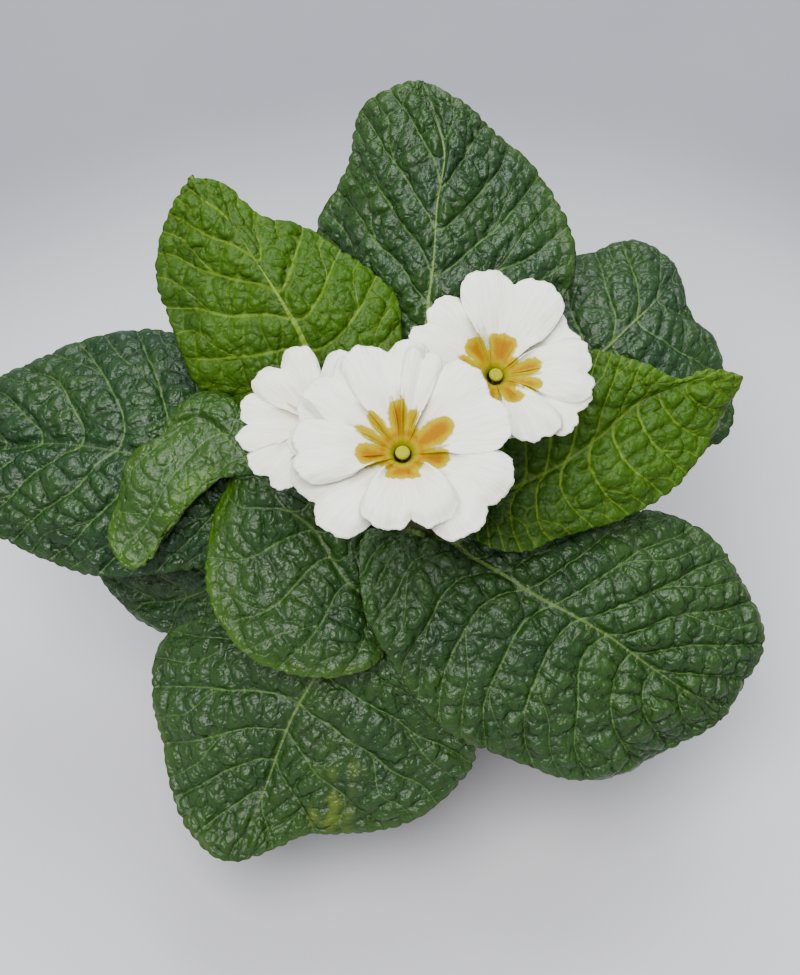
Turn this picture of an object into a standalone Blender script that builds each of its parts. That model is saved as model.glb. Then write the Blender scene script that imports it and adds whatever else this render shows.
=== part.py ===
"""Potted primrose: a plain nursery pot of soil with a rosette of quilted leaves and three open flowers.

The origin is the middle of the pot's underside, +Z is up and -Y is the front. Every dimension below is
in millimetres. Each sub-part is one named object.
"""
import math

import bmesh
import bpy
from mathutils import Matrix, Vector

MM = 0.001
TAU = math.tau
UP = Vector((0.0, 0.0, 1.0))

# Gap between neighbouring solids
GAP = 0.3

# Pot
POT_SIDES = 48
POT_HEIGHT = 74.0
POT_BASE_RADIUS = 34.0
POT_TOP_RADIUS = 45.5
POT_WALL = 1.4
POT_FLOOR = 1.8
RIM_HEIGHT = 11.0
RIM_STEP = 2.2
RIM_LIP = 1.2
FOOT_ROUND = 2.0
DRAIN_COUNT = 6
DRAIN_SIDES = 14
DRAIN_RADIUS = 4.0
DRAIN_CIRCLE = 25.0

# Soil
SOIL_TOP = 69.5
SOIL_DOME = 1.6
SOIL_SEAT_RADIUS = 11.0
SOIL_GAP = 0.45
SOIL_SHOULDER = 1.5

# Crown: a short stump in two tiers, the older leaves round the lower one
CROWN_SIDES = 24
LOWER_TIER = {"radius": 9.6, "top": 80.0}
UPPER_TIER = {"radius": 6.8, "top": 86.5}
CROWN_TOP_RADIUS = 4.6
CROWN_TOP = 88.0
CROWN_ROUND = 1.0

# Height of the leaf stalks' roots on the crown's tiers
ROOT_GAP = 0.45
ROOT_HEIGHTS = {"low": 73.4, "middle": 77.4, "upper": 83.4}

# Leaf blades and stalks
BLADE_THICKNESS = 0.9
STALK_THICKNESS = 2.6
STALK_HALF_WIDTH = 2.3
STALK_FOOT_RUN = 3.0
STALK_FOOT_RISE = 0.5
STALK_FULL_SPREAD = 6.0
STALK_LAST_SPREAD = 14.0
RIB_STOUTNESS = 0.5
ROWS_PER_SECTION = 2
COLUMNS_PER_HALF = 4

# Each leaf: where its stalk roots, how far each half of the blade bows up between rib and margin,
# and its sections from the stalk to the tip. A section holds a point on the rib, the point on the
# left margin and the point on the right margin that its side veins run to. Left is as seen from the
# crown, looking out.
LEAVES = {
    "leaf_back": {
        "root": "upper", "azimuth": 92, "bow": 3.0,
        "sections": [
            ((0, 17, 104), (-4, 18, 105), (3, 18, 105)),
            ((0, 28, 112), (-21, 54, 106), (28, 38, 110)),
            ((0, 38, 122), (-29, 72, 117), (41, 57, 122)),
            ((2, 51, 131), (-22, 83, 134), (32, 81, 133)),
            ((3, 64, 139), (-18, 93, 144), (20, 88, 141)),
            ((5, 78, 145), (-10, 96, 149), (11, 92, 147)),
            ((-1, 98, 151),),
        ],
    },
    "leaf_back_left": {
        "root": "upper", "azimuth": 135, "bow": 2.5,
        "sections": [
            ((-14, 12, 102), (-17, 9, 102), (-11, 14, 103)),
            ((-26, 20, 113), (-48, 19, 105), (-7, 32, 119)),
            ((-31, 26, 121), (-60, 23, 107), (-8, 44, 126)),
            ((-35, 32, 128), (-67, 31, 117), (-20, 53, 131)),
            ((-40, 38, 134), (-73, 47, 126), (-33, 61, 133)),
            ((-46, 46, 139), (-72, 56, 134), (-44, 60, 139)),
            ((-53, 55, 144), (-68, 61, 143), (-54, 66, 145)),
            ((-63, 65, 150),),
        ],
    },
    "leaf_left": {
        "root": "middle", "azimuth": 178, "bow": 4.0,
        "sections": [
            ((-21, 0, 91), (-21, -3, 91), (-21, 3, 91)),
            ((-43, 0, 98), (-51, -18, 88), (-49, 23, 97)),
            ((-63, 5, 101), (-72, -20, 85), (-66, 44, 100)),
            ((-78, 7, 102), (-92, -20, 83), (-79, 50, 101)),
            ((-90, 10, 101), (-106, -16, 83), (-94, 48, 99)),
            ((-104, 14, 97), (-119, -8, 83), (-113, 43, 95)),
            ((-118, 16, 91), (-129, 2, 84), (-127, 36, 90)),
            ((-134, 19, 84),),
        ],
    },
    "leaf_front_left": {
        "root": "upper", "azimuth": 250, "bow": 3.0,
        "sections": [
            ((-9, -18, 88), (-12, -18, 88), (-7, -19, 88)),
            ((-15, -28, 89), (-12, -44, 83), (-9, -31, 88)),
            ((-20, -28, 92), (-27, -51, 84), (-12, -25, 90)),
            ((-25, -22, 95), (-44, -48, 86), (-17, -17, 93)),
            ((-29, -16, 99), (-55, -37, 88), (-20, -10, 97)),
            ((-33, -14, 103), (-59, -24, 93), (-24, -4, 101)),
            ((-38, -12, 107), (-57, -10, 100), (-28, 2, 104)),
            ((-42, -7, 110), (-53, -1, 106), (-34, 7, 107)),
            ((-47, -2, 112), (-64, -9, 106), (-41, 11, 109)),
            ((-52, 4, 113), (-72, -20, 97), (-47, 14, 110)),
            ((-58, 10, 113), (-80, -23, 93), (-52, 18, 110)),
            ((-64, 12, 112), (-86, -14, 97), (-58, 21, 110)),
            ((-71, 9, 110), (-81, 0, 104), (-65, 19, 109)),
            ((-73, 9, 108),),
        ],
    },
    "leaf_front": {
        "root": "low", "azimuth": 238, "bow": 3.0,
        "sections": [
            ((-12, -18, 79), (-9, -19, 79), (-14, -16, 79)),
            ((-18, -27, 80), (-9, -35, 78), (-30, -26, 79)),
            ((-24, -36, 79), (-2, -50, 77), (-52, -26, 75)),
            ((-30, -46, 74), (13, -61, 60), (-74, -29, 62)),
            ((-36, -54, 67), (7, -71, 52), (-76, -47, 55)),
            ((-40, -61, 60), (-11, -80, 46), (-73, -63, 48)),
            ((-44, -69, 52), (-31, -79, 43), (-68, -76, 43)),
            ((-49, -80, 46), (-42, -84, 42), (-60, -84, 41)),
            ((-52, -87, 40),),
        ],
    },
    "leaf_front_right": {
        "root": "middle", "azimuth": 305, "bow": 3.5,
        "sections": [
            ((7, -13, 90), (9, -11, 90), (5, -15, 90)),
            ((12, -19, 92), (23, -12, 91), (-15.5, -14, 97.5)),
            ((20, -24, 92), (37, -8, 89), (-17, -34, 94)),
            ((29, -29, 89), (55, -2, 88), (-9, -46, 83)),
            ((40, -34, 86), (74, -5, 84), (4, -59, 71)),
            ((50, -38, 81), (88, -17, 76), (22, -66, 63)),
            ((60, -43, 75), (95, -32, 66), (46, -69, 56)),
            ((71, -48, 68), (89, -45, 61), (66, -62, 54)),
            ((83, -53, 58),),
        ],
    },
    "leaf_right": {
        "root": "upper", "azimuth": 358, "bow": 2.5,
        "sections": [
            ((12, -1, 95), (12, 2, 96), (13, -4, 95)),
            ((21, -3, 100), (17, 13, 106), (14, -18, 99)),
            ((31, -1, 105), (30, 22, 117), (26, -21, 99)),
            ((39, 2, 109), (41, 27, 123), (39, -15, 98)),
            ((48, 8, 112), (50, 26, 123), (54, -11, 99)),
            ((57, 16, 114), (58, 24, 121), (66, -4, 101)),
            ((65, 20, 116), (67, 21, 118), (75, 6, 104)),
            ((74, 21, 117), (75, 24, 118), (81, 18, 107)),
            ((86, 25, 113),),
        ],
    },
    "leaf_back_right": {
        "root": "middle", "azimuth": 45, "bow": 3.0,
        "sections": [
            ((13, 13, 90), (10, 15, 90), (15, 10, 90)),
            ((26, 22, 97), (16, 40, 98), (41, 18, 92)),
            ((39, 32, 102), (28, 62, 101), (66, 22, 86)),
            ((50, 39, 106), (39, 75, 101), (83, 22, 84)),
            ((58, 47, 107), (50, 78, 101), (88, 32, 87)),
            ((65, 55, 106), (59, 80, 101), (84, 50, 93)),
            ((70, 63, 104), (68, 77, 101), (77, 59, 98)),
            ((74, 71, 102),),
        ],
    },
    "leaf_low_left": {
        "root": "low", "azimuth": 200, "bow": 1.5,
        "sections": [
            ((-19, -6, 78), (-18, -9, 78), (-20, -3, 78)),
            ((-35, -10, 80), (-30, -17, 79), (-42, 8, 79)),
            ((-50, -14, 77), (-46, -23, 76), (-65, 8, 74)),
            ((-63, -17, 67), (-60, -29, 63), (-87, 6, 62)),
            ((-75, -16, 58), (-74, -24, 53), (-97, -1, 54)),
            ((-90, -11, 51),),
        ],
    },
    "leaf_low_right": {
        "root": "low", "azimuth": 350, "bow": 1.5,
        "sections": [
            ((17, -4, 79), (17, -1, 79), (16, -7, 79)),
            ((38, -7, 81), (40, 2, 80), (35, -17, 80)),
            ((61, -6, 74), (65, 3, 74), (60, -17, 73)),
            ((79, -3, 65), (81, 4, 65), (79, -11, 62)),
            ((90, -1, 58),),
        ],
    },
    "leaf_low_back_left": {
        "root": "low", "azimuth": 142, "bow": 1.5,
        "sections": [
            ((-16, 13, 79), (-18, 11, 79), (-14, 15, 79)),
            ((-30, 25, 82), (-41, 17, 80), (-20, 37, 81)),
            ((-42, 36, 84), (-57, 24, 79), (-28, 52, 80)),
            ((-52, 45, 82), (-64, 35, 77), (-40, 58, 78)),
            ((-59, 51, 78), (-64, 45, 75), (-52, 58, 75)),
            ((-63, 56, 74),),
        ],
    },
    "leaf_low_back_right": {
        "root": "low", "azimuth": 76, "bow": 1.5,
        "sections": [
            ((5, 18, 79), (2, 19, 79), (8, 17, 79)),
            ((10, 33, 83), (-4, 36, 81), (22, 28, 81)),
            ((15, 48, 84), (-4, 53, 79), (33, 42, 80)),
            ((19, 60, 83), (4, 66, 77), (34, 55, 78)),
            ((22, 69, 79), (12, 73, 74), (31, 66, 75)),
            ((24, 77, 74),),
        ],
    },
    "leaf_inner_back": {
        "root": "upper", "azimuth": 48, "bow": 0.6,
        "sections": [
            ((7, 7, 96), (5, 9, 97), (9, 6, 97)),
            ((10, 11, 103), (4, 13, 106), (14, 8, 106)),
            ((13, 14, 109), (6, 18, 113), (18, 11, 113)),
            ((17, 19, 115), (13, 22, 117), (20, 17, 117)),
            ((20, 23, 118),),
        ],
    },
    "leaf_inner_front": {
        "root": "upper", "azimuth": 305, "bow": 0.5,
        "sections": [
            ((5, -7, 96), (7, -5, 97), (3, -8, 97)),
            ((8, -10, 102), (12, -6, 104), (3, -13, 104)),
            ((10, -14, 107), (14, -11, 110), (6, -17, 110)),
            ((13, -18, 111),),
        ],
    },
}

# Flowers: middle of the face, the way it faces, reach of its petals, number of lobes and their turn,
# and where its stalk roots on the crown's top
FLOWERS = {
    "flower_front": {
        "face": (-6.5, -20.0, 148.0), "facing": (0.0, -0.14, 1.0), "reach": 27.5, "lobes": 7,
        "turn": 12, "root": (-0.5, -2.6),
    },
    "flower_back": {
        "face": (17.5, 10.0, 137.0), "facing": (0.14, -0.10, 1.0), "reach": 25.0, "lobes": 6,
        "turn": 20, "root": (2.4, 1.2),
    },
    "flower_left": {
        "face": (-27.5, -3.0, 134.0), "facing": (-0.24, -0.08, 1.0), "reach": 20.5, "lobes": 6,
        "turn": 5, "root": (-2.4, 0.9),
    },
}

# Corolla: the petals' common tube and the limb it opens into
PETAL_THICKNESS = 0.7
TUBE_LENGTH = 17.0
TUBE_RADIUS = 1.75
THROAT_RADIUS = 2.9
LIMB_RISE = 3.6
LOBE_GAP = 0.24
LOBE_NOTCH = 0.12
NOTCH_WIDTH = 0.09
THROAT_DEPTH = 0.8
LIMB_BEND = 0.6
SIDES_PER_LOBE = 6
LIMB_RINGS = 4

# Calyx: a five-toothed cup round the tube
CALYX_LENGTH = 12.5
CALYX_RADIUS = 3.0
CALYX_MOUTH_RADIUS = 4.3
CALYX_TOOTH = 3.2
CALYX_WALL = 0.6
CALYX_TEETH = 5
SIDES_PER_TOOTH = 4
CUP_FOOT_SHARE = 0.88
CUP_FOOT_HEIGHT = 0.9
CUP_WAIST = 0.55

# Pistil
OVARY_RADIUS = 0.9
OVARY_LENGTH = 1.9
STYLE_FOOT = 2.6
STYLE_RADIUS = 0.4
STIGMA_RADIUS = 1.6
STIGMA_HEIGHT = 1.3
PISTIL_SIDES = 10

# Stalks
FLOWER_STALK_RADIUS = 1.15
BUD_STALK_RADIUS = 0.9
STALK_POINTS = 12
STALK_ROUNDNESS = 2
STALK_PULL = 0.45

# Buds: foot of the calyx, the way the bud points and where its stalk roots on the crown's top
BUDS = {
    "bud_1": {"foot": (-5.0, 7.0, 99.0), "pointing": (-0.25, 0.35, 1.0), "root": (-0.6, 2.8)},
    "bud_2": {"foot": (-7.0, -6.0, 97.0), "pointing": (-0.35, -0.30, 1.0), "root": (-2.6, -1.6)},
}
BUD_CALYX_LENGTH = 7.5
BUD_CALYX_RADIUS = 2.7
BUD_PETAL_LENGTH = 6.5
BUD_PETAL_RADIUS = 1.75

# The petals' roll in a bud, as shares of its radius and length
BUD_PROFILE = [(0.45, 0.0), (0.8, 0.2), (1.0, 0.6), (0.8, 0.82), (0.35, 0.97)]

LEAF_COLOURS = {
    "leaf_back": (0.045, 0.130, 0.030),
    "leaf_back_left": (0.150, 0.330, 0.030),
    "leaf_left": (0.035, 0.110, 0.035),
    "leaf_front_left": (0.060, 0.190, 0.035),
    "leaf_front": (0.040, 0.120, 0.040),
    "leaf_front_right": (0.035, 0.115, 0.035),
    "leaf_right": (0.110, 0.270, 0.025),
    "leaf_back_right": (0.035, 0.100, 0.035),
    "leaf_low_left": (0.030, 0.090, 0.035),
    "leaf_low_right": (0.070, 0.200, 0.030),
    "leaf_low_back_left": (0.035, 0.105, 0.035),
    "leaf_low_back_right": (0.035, 0.105, 0.035),
    "leaf_inner_back": (0.170, 0.360, 0.040),
    "leaf_inner_front": (0.170, 0.360, 0.040),
}
PETAL_COLOUR = (0.88, 0.87, 0.80)
STALK_COLOUR = (0.32, 0.42, 0.14)
CALYX_COLOUR = (0.20, 0.36, 0.08)
PISTIL_COLOUR = (0.50, 0.60, 0.12)
CROWN_COLOUR = (0.33, 0.30, 0.12)
SOIL_COLOUR = (0.035, 0.022, 0.014)
POT_COLOUR = (0.150, 0.045, 0.020)


def clear_scene():
    """Start from an empty scene."""
    for thing in list(bpy.data.objects):
        bpy.data.objects.remove(thing, do_unlink=True)


def material(name, colour, roughness):
    """A plain material for one sub-part."""
    made = bpy.data.materials.new(name)
    made.use_nodes = True
    shader = made.node_tree.nodes["Principled BSDF"]
    shader.inputs["Base Color"].default_value = (*colour, 1.0)
    shader.inputs["Roughness"].default_value = roughness
    shader.inputs["Metallic"].default_value = 0.0
    return made


def add_object(name, data, finish):
    """Link a mesh or curve to the scene as one named sub-part."""
    thing = bpy.data.objects.new(name, data)
    data.materials.append(finish)
    bpy.context.scene.collection.objects.link(thing)
    return thing


def mesh_object(name, vertices, faces, finish):
    """A sub-part from vertices in millimetres and their faces, shaded smooth."""
    mesh = bpy.data.meshes.new(name)
    mesh.from_pydata([Vector(v) * MM for v in vertices], [], faces)
    mesh.validate()
    mesh.shade_smooth()
    return add_object(name, mesh, finish)


def spline(points, spans, t):
    """Smooth curve through the points, with t counting from point to point and the spans their spacing."""
    last = len(points) - 1
    first = min(int(t), last - 1)
    u = t - first
    start = points[first]
    end = points[first + 1]
    span = spans[first]
    rise = end - start
    slope_in = rise
    slope_out = rise
    if first > 0:
        slope_in = (end - points[first - 1]) * (span / (span + spans[first - 1]))
    if first < last - 1:
        slope_out = (points[first + 2] - start) * (span / (span + spans[first + 1]))
    return (
        start
        + slope_in * u
        + (rise * 3 - slope_in * 2 - slope_out) * u ** 2
        + (slope_in + slope_out - rise * 2) * u ** 3
    )


def turned(profile, sides):
    """Vertices and faces of a closed turned shape whose profile starts and ends on the axis."""
    vertices = [(0.0, 0.0, profile[0][1])]
    for radius, height in profile[1:-1]:
        for k in range(sides):
            angle = TAU * k / sides
            vertices.append((radius * math.cos(angle), radius * math.sin(angle), height))
    vertices.append((0.0, 0.0, profile[-1][1]))
    top = len(vertices) - 1
    rings = len(profile) - 2
    faces = []
    for k in range(sides):
        after = (k + 1) % sides
        faces.append((0, 1 + after, 1 + k))
        faces.append((top, 1 + (rings - 1) * sides + k, 1 + (rings - 1) * sides + after))
        for ring in range(rings - 1):
            low = 1 + ring * sides
            high = low + sides
            faces.append((low + k, low + after, high + after, high + k))
    return vertices, faces


def standing_on(vertices, foot, axis):
    """Stand a shape drawn round +Z on a point, along an axis."""
    turn = UP.rotation_difference(Vector(axis).normalized()).to_matrix()
    return [turn @ Vector(v) + Vector(foot) for v in vertices]


def solidify(thing, thickness, inward):
    """Give a sheet its wall: centred on the sheet, or all of it behind the sheet's front."""
    wall = thing.modifiers.new("wall", "SOLIDIFY")
    wall.thickness = thickness * MM
    wall.offset = -1.0 if inward else 0.0
    return wall


def section_points(leaf):
    """The leaf's rib, left margin and right margin, from its root to its tip."""
    tier = UPPER_TIER if leaf["root"] == "upper" else LOWER_TIER
    angle = math.radians(leaf["azimuth"])
    out = Vector((math.cos(angle), math.sin(angle), 0.0))
    root = out * (tier["radius"] + ROOT_GAP) + UP * ROOT_HEIGHTS[leaf["root"]]
    side = UP.cross(out) * STALK_HALF_WIDTH
    heel = root + out * STALK_FOOT_RUN + UP * STALK_FOOT_RISE
    rib, left, right = [root, heel], [root + side, heel + side], [root - side, heel - side]
    for section in leaf["sections"]:
        rib.append(Vector(section[0]))
        left.append(Vector(section[1] if len(section) > 1 else section[0]))
        right.append(Vector(section[2] if len(section) > 1 else section[0]))
    return rib, left, right


def make_leaf(name, leaf):
    """A leaf: one sheet lofted through its sections, then thickened, with a stouter stalk."""
    rib, left, right = section_points(leaf)
    spans = [(rib[i + 1] - rib[i]).length for i in range(len(rib) - 1)]
    rows = len(spans) * ROWS_PER_SECTION
    widest = max((left[i] - right[i]).length for i in range(len(rib)))
    vertices = []
    weights = []
    for row in range(rows):
        t = row / ROWS_PER_SECTION
        centre = spline(rib, spans, t)
        margins = (spline(left, spans, t), spline(right, spans, t))
        ahead = spline(rib, spans, min(t + 0.5, len(spans))) - spline(rib, spans, max(t - 0.5, 0.0))
        normal = ahead.cross(margins[0] - margins[1]).normalized()
        spread = (margins[0] - margins[1]).length
        lift = leaf["bow"] * min(1.0, spread / widest)
        stalk = min(1.0, max(0.0, (STALK_LAST_SPREAD - spread) / (STALK_LAST_SPREAD - STALK_FULL_SPREAD)))
        for column in range(-COLUMNS_PER_HALF, COLUMNS_PER_HALF + 1):
            share = abs(column) / COLUMNS_PER_HALF
            margin = margins[0] if column < 0 else margins[1]
            bow = normal * (lift * 4.0 * share * (1.0 - share))
            vertices.append(centre.lerp(margin, share) + bow)
            rib_share = max(0.0, 1.0 - share * COLUMNS_PER_HALF) * (1.0 - row / rows)
            weights.append(max(stalk, RIB_STOUTNESS * rib_share))
    tip = len(vertices)
    vertices.append(rib[-1])
    weights.append(0.0)
    across = 2 * COLUMNS_PER_HALF + 1
    faces = []
    for row in range(rows - 1):
        for column in range(across - 1):
            corner = row * across + column
            faces.append((corner, corner + 1, corner + across + 1, corner + across))
    for column in range(across - 1):
        corner = (rows - 1) * across + column
        faces.append((corner, corner + 1, tip))
    thing = mesh_object(name, vertices, faces, material(name, LEAF_COLOURS[name], 0.4))
    body = thing.vertex_groups.new(name="body")
    blade_share = BLADE_THICKNESS / STALK_THICKNESS
    for index, weight in enumerate(weights):
        body.add([index], blade_share + (1.0 - blade_share) * weight, "REPLACE")
    wall = solidify(thing, STALK_THICKNESS, inward=False)
    wall.vertex_group = body.name


def lobed_reach(angle, reach, lobes):
    """Reach of the limb's edge: lobes with a sinus between them and a notch in the middle of each."""
    place = (angle * lobes / TAU) % 1.0 - 0.5
    sinus = LOBE_GAP * abs(2.0 * place) ** 4
    notch = LOBE_NOTCH * math.exp(-((place / NOTCH_WIDTH) ** 2))
    return reach * (1.0 - sinus - notch)


def make_corolla(name, flower, finish):
    """The petals and their tube: one sheet of rings, from the tube's foot to the limb's edge."""
    sides = SIDES_PER_LOBE * flower["lobes"]
    rings = [(TUBE_RADIUS, -TUBE_LENGTH), (TUBE_RADIUS, -TUBE_LENGTH * 0.5), (THROAT_RADIUS, -THROAT_DEPTH)]
    vertices = []
    for radius, height in rings:
        for k in range(sides):
            angle = TAU * k / sides
            vertices.append((radius * math.cos(angle), radius * math.sin(angle), height))
    for ring in range(1, LIMB_RINGS + 1):
        share = ring / LIMB_RINGS
        for k in range(sides):
            angle = TAU * k / sides
            edge = lobed_reach(angle + TAU / (2 * sides), flower["reach"], flower["lobes"])
            radius = THROAT_RADIUS + (edge - THROAT_RADIUS) * share
            height = LIMB_RISE * math.sin(share * math.pi * LIMB_BEND)
            vertices.append((radius * math.cos(angle), radius * math.sin(angle), height))
    faces = []
    for ring in range(len(rings) + LIMB_RINGS - 1):
        for k in range(sides):
            after = (k + 1) % sides
            low = ring * sides
            high = low + sides
            faces.append((low + k, high + k, high + after, low + after))
    turn = Matrix.Rotation(math.radians(flower["turn"]), 3, "Z")
    vertices = [turn @ Vector(v) for v in vertices]
    placed = standing_on(vertices, flower["face"], flower["facing"])
    thing = mesh_object(name, placed, faces, finish)
    solidify(thing, PETAL_THICKNESS, inward=False)


def make_cup(name, foot, axis, length, radius, mouth, finish):
    """A calyx: a closed foot and a wall that ends in five teeth, thickened inwards."""
    sides = CALYX_TEETH * SIDES_PER_TOOTH
    half_tooth = SIDES_PER_TOOTH // 2
    rings = [
        (radius * CUP_FOOT_SHARE, 0.0),
        (radius, CUP_FOOT_HEIGHT),
        ((radius + mouth) / 2, length * CUP_WAIST),
    ]
    vertices = [(0.0, 0.0, 0.0)]
    for radius_here, height in rings:
        for k in range(sides):
            angle = TAU * k / sides
            vertices.append((radius_here * math.cos(angle), radius_here * math.sin(angle), height))
    for k in range(sides):
        angle = TAU * k / sides
        tooth = abs((k % SIDES_PER_TOOTH) - half_tooth) / half_tooth
        height = length - CALYX_TOOTH * (1.0 - tooth)
        vertices.append((mouth * math.cos(angle), mouth * math.sin(angle), height))
    faces = []
    for k in range(sides):
        after = (k + 1) % sides
        faces.append((0, 1 + after, 1 + k))
        for ring in range(len(rings)):
            low = 1 + ring * sides
            high = low + sides
            faces.append((low + k, low + after, high + after, high + k))
    thing = mesh_object(name, standing_on(vertices, foot, axis), faces, finish)
    solidify(thing, CALYX_WALL, inward=True)


def make_stalk(name, root, foot, axis, radius, finish):
    """A stalk from the crown's top to a flower's foot: a round tube on a smooth bend."""
    start = Vector((root[0], root[1], CROWN_TOP + GAP))
    end = Vector(foot) - Vector(axis).normalized() * GAP
    reach = (end - start).length * STALK_PULL
    pull_start = start + UP * reach
    pull_end = end - Vector(axis).normalized() * reach
    curve = bpy.data.curves.new(name, "CURVE")
    curve.dimensions = "3D"
    curve.bevel_depth = radius * MM
    curve.bevel_resolution = STALK_ROUNDNESS
    curve.use_fill_caps = True
    line = curve.splines.new("POLY")
    line.points.add(STALK_POINTS - 1)
    for index, point in enumerate(line.points):
        u = index / (STALK_POINTS - 1)
        place = (
            start * (1 - u) ** 3
            + pull_start * 3 * u * (1 - u) ** 2
            + pull_end * 3 * u ** 2 * (1 - u)
            + end * u ** 3
        )
        point.co = (*(place * MM), 1.0)
    add_object(name, curve, finish)


def make_pistil(name, foot, axis, finish):
    """The ovary in the tube's foot, the style up the tube and the round stigma in the throat."""
    stigma = TUBE_LENGTH - GAP
    profile = [
        (0.0, 0.0),
        (OVARY_RADIUS * 0.8, 0.0),
        (OVARY_RADIUS, OVARY_LENGTH * 0.5),
        (OVARY_RADIUS * 0.8, OVARY_LENGTH),
        (STYLE_RADIUS, STYLE_FOOT),
        (STYLE_RADIUS, stigma - STIGMA_HEIGHT * 0.6),
        (STIGMA_RADIUS * 0.8, stigma - STIGMA_HEIGHT * 0.4),
        (STIGMA_RADIUS, stigma),
        (STIGMA_RADIUS * 0.75, stigma + STIGMA_HEIGHT * 0.6),
        (0.0, stigma + STIGMA_HEIGHT * 0.7),
    ]
    vertices, faces = turned(profile, PISTIL_SIDES)
    mesh_object(name, standing_on(vertices, foot, axis), faces, finish)


def make_flower(name, flower, petal, green, stalk, eye):
    """One open flower: corolla, calyx, pistil and stalk."""
    axis = Vector(flower["facing"]).normalized()
    face = Vector(flower["face"])
    make_corolla(f"{name}_corolla", flower, petal)
    tube_foot = face - axis * TUBE_LENGTH
    calyx_foot = tube_foot - axis * (GAP + CALYX_WALL)
    make_cup(
        f"{name}_calyx", calyx_foot, axis, CALYX_LENGTH, CALYX_RADIUS, CALYX_MOUTH_RADIUS, green
    )
    make_pistil(f"{name}_pistil", tube_foot, axis, eye)
    make_stalk(f"{name}_stalk", flower["root"], calyx_foot, axis, FLOWER_STALK_RADIUS, stalk)


def make_bud(name, bud, petal, green, stalk):
    """One closed bud: its petals rolled to a point in a short calyx, on a stalk."""
    axis = Vector(bud["pointing"]).normalized()
    foot = Vector(bud["foot"])
    mouth = BUD_CALYX_RADIUS * 1.05
    make_cup(f"{name}_calyx", foot, axis, BUD_CALYX_LENGTH, BUD_CALYX_RADIUS, mouth, green)
    petal_foot = foot + axis * (CALYX_WALL + 2 * GAP)
    length = BUD_CALYX_LENGTH + BUD_PETAL_LENGTH
    profile = [(0.0, 0.0)]
    profile += [(BUD_PETAL_RADIUS * radius, length * height) for radius, height in BUD_PROFILE]
    profile.append((0.0, length))
    vertices, faces = turned(profile, PISTIL_SIDES)
    mesh_object(f"{name}_petals", standing_on(vertices, petal_foot, axis), faces, petal)
    make_stalk(f"{name}_stalk", bud["root"], foot, axis, BUD_STALK_RADIUS, stalk)


def make_crown():
    """The short stump that every stalk grows from."""
    foot = SOIL_TOP + SOIL_DOME + GAP
    profile = [
        (0.0, foot),
        (LOWER_TIER["radius"] - CROWN_ROUND, foot),
        (LOWER_TIER["radius"], foot + CROWN_ROUND),
        (LOWER_TIER["radius"], LOWER_TIER["top"] - CROWN_ROUND),
        (UPPER_TIER["radius"] + CROWN_ROUND, LOWER_TIER["top"]),
        (UPPER_TIER["radius"], LOWER_TIER["top"] + CROWN_ROUND),
        (UPPER_TIER["radius"], UPPER_TIER["top"] - CROWN_ROUND),
        (CROWN_TOP_RADIUS, CROWN_TOP),
        (0.0, CROWN_TOP),
    ]
    vertices, faces = turned(profile, CROWN_SIDES)
    mesh_object("crown", vertices, faces, material("crown", CROWN_COLOUR, 0.7))


def pot_inner_radius(height):
    """Inside radius of the pot's plain wall at a height."""
    taper = (POT_TOP_RADIUS - POT_BASE_RADIUS) / POT_HEIGHT
    return POT_BASE_RADIUS + taper * height - POT_WALL


def make_soil():
    """The soil fills the pot to just under its rim, a little domed towards the crown."""
    foot = POT_FLOOR + GAP
    profile = [
        (0.0, foot),
        (pot_inner_radius(foot) - SOIL_GAP, foot),
        (pot_inner_radius(SOIL_TOP - SOIL_SHOULDER) - SOIL_GAP, SOIL_TOP - SOIL_SHOULDER),
        (pot_inner_radius(SOIL_TOP) - SOIL_GAP - SOIL_SHOULDER, SOIL_TOP),
        (pot_inner_radius(SOIL_TOP) * 0.6, SOIL_TOP + SOIL_DOME * 0.6),
        (SOIL_SEAT_RADIUS, SOIL_TOP + SOIL_DOME),
        (0.0, SOIL_TOP + SOIL_DOME),
    ]
    vertices, faces = turned(profile, POT_SIDES)
    mesh_object("potting_soil", vertices, faces, material("potting_soil", SOIL_COLOUR, 0.95))


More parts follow.
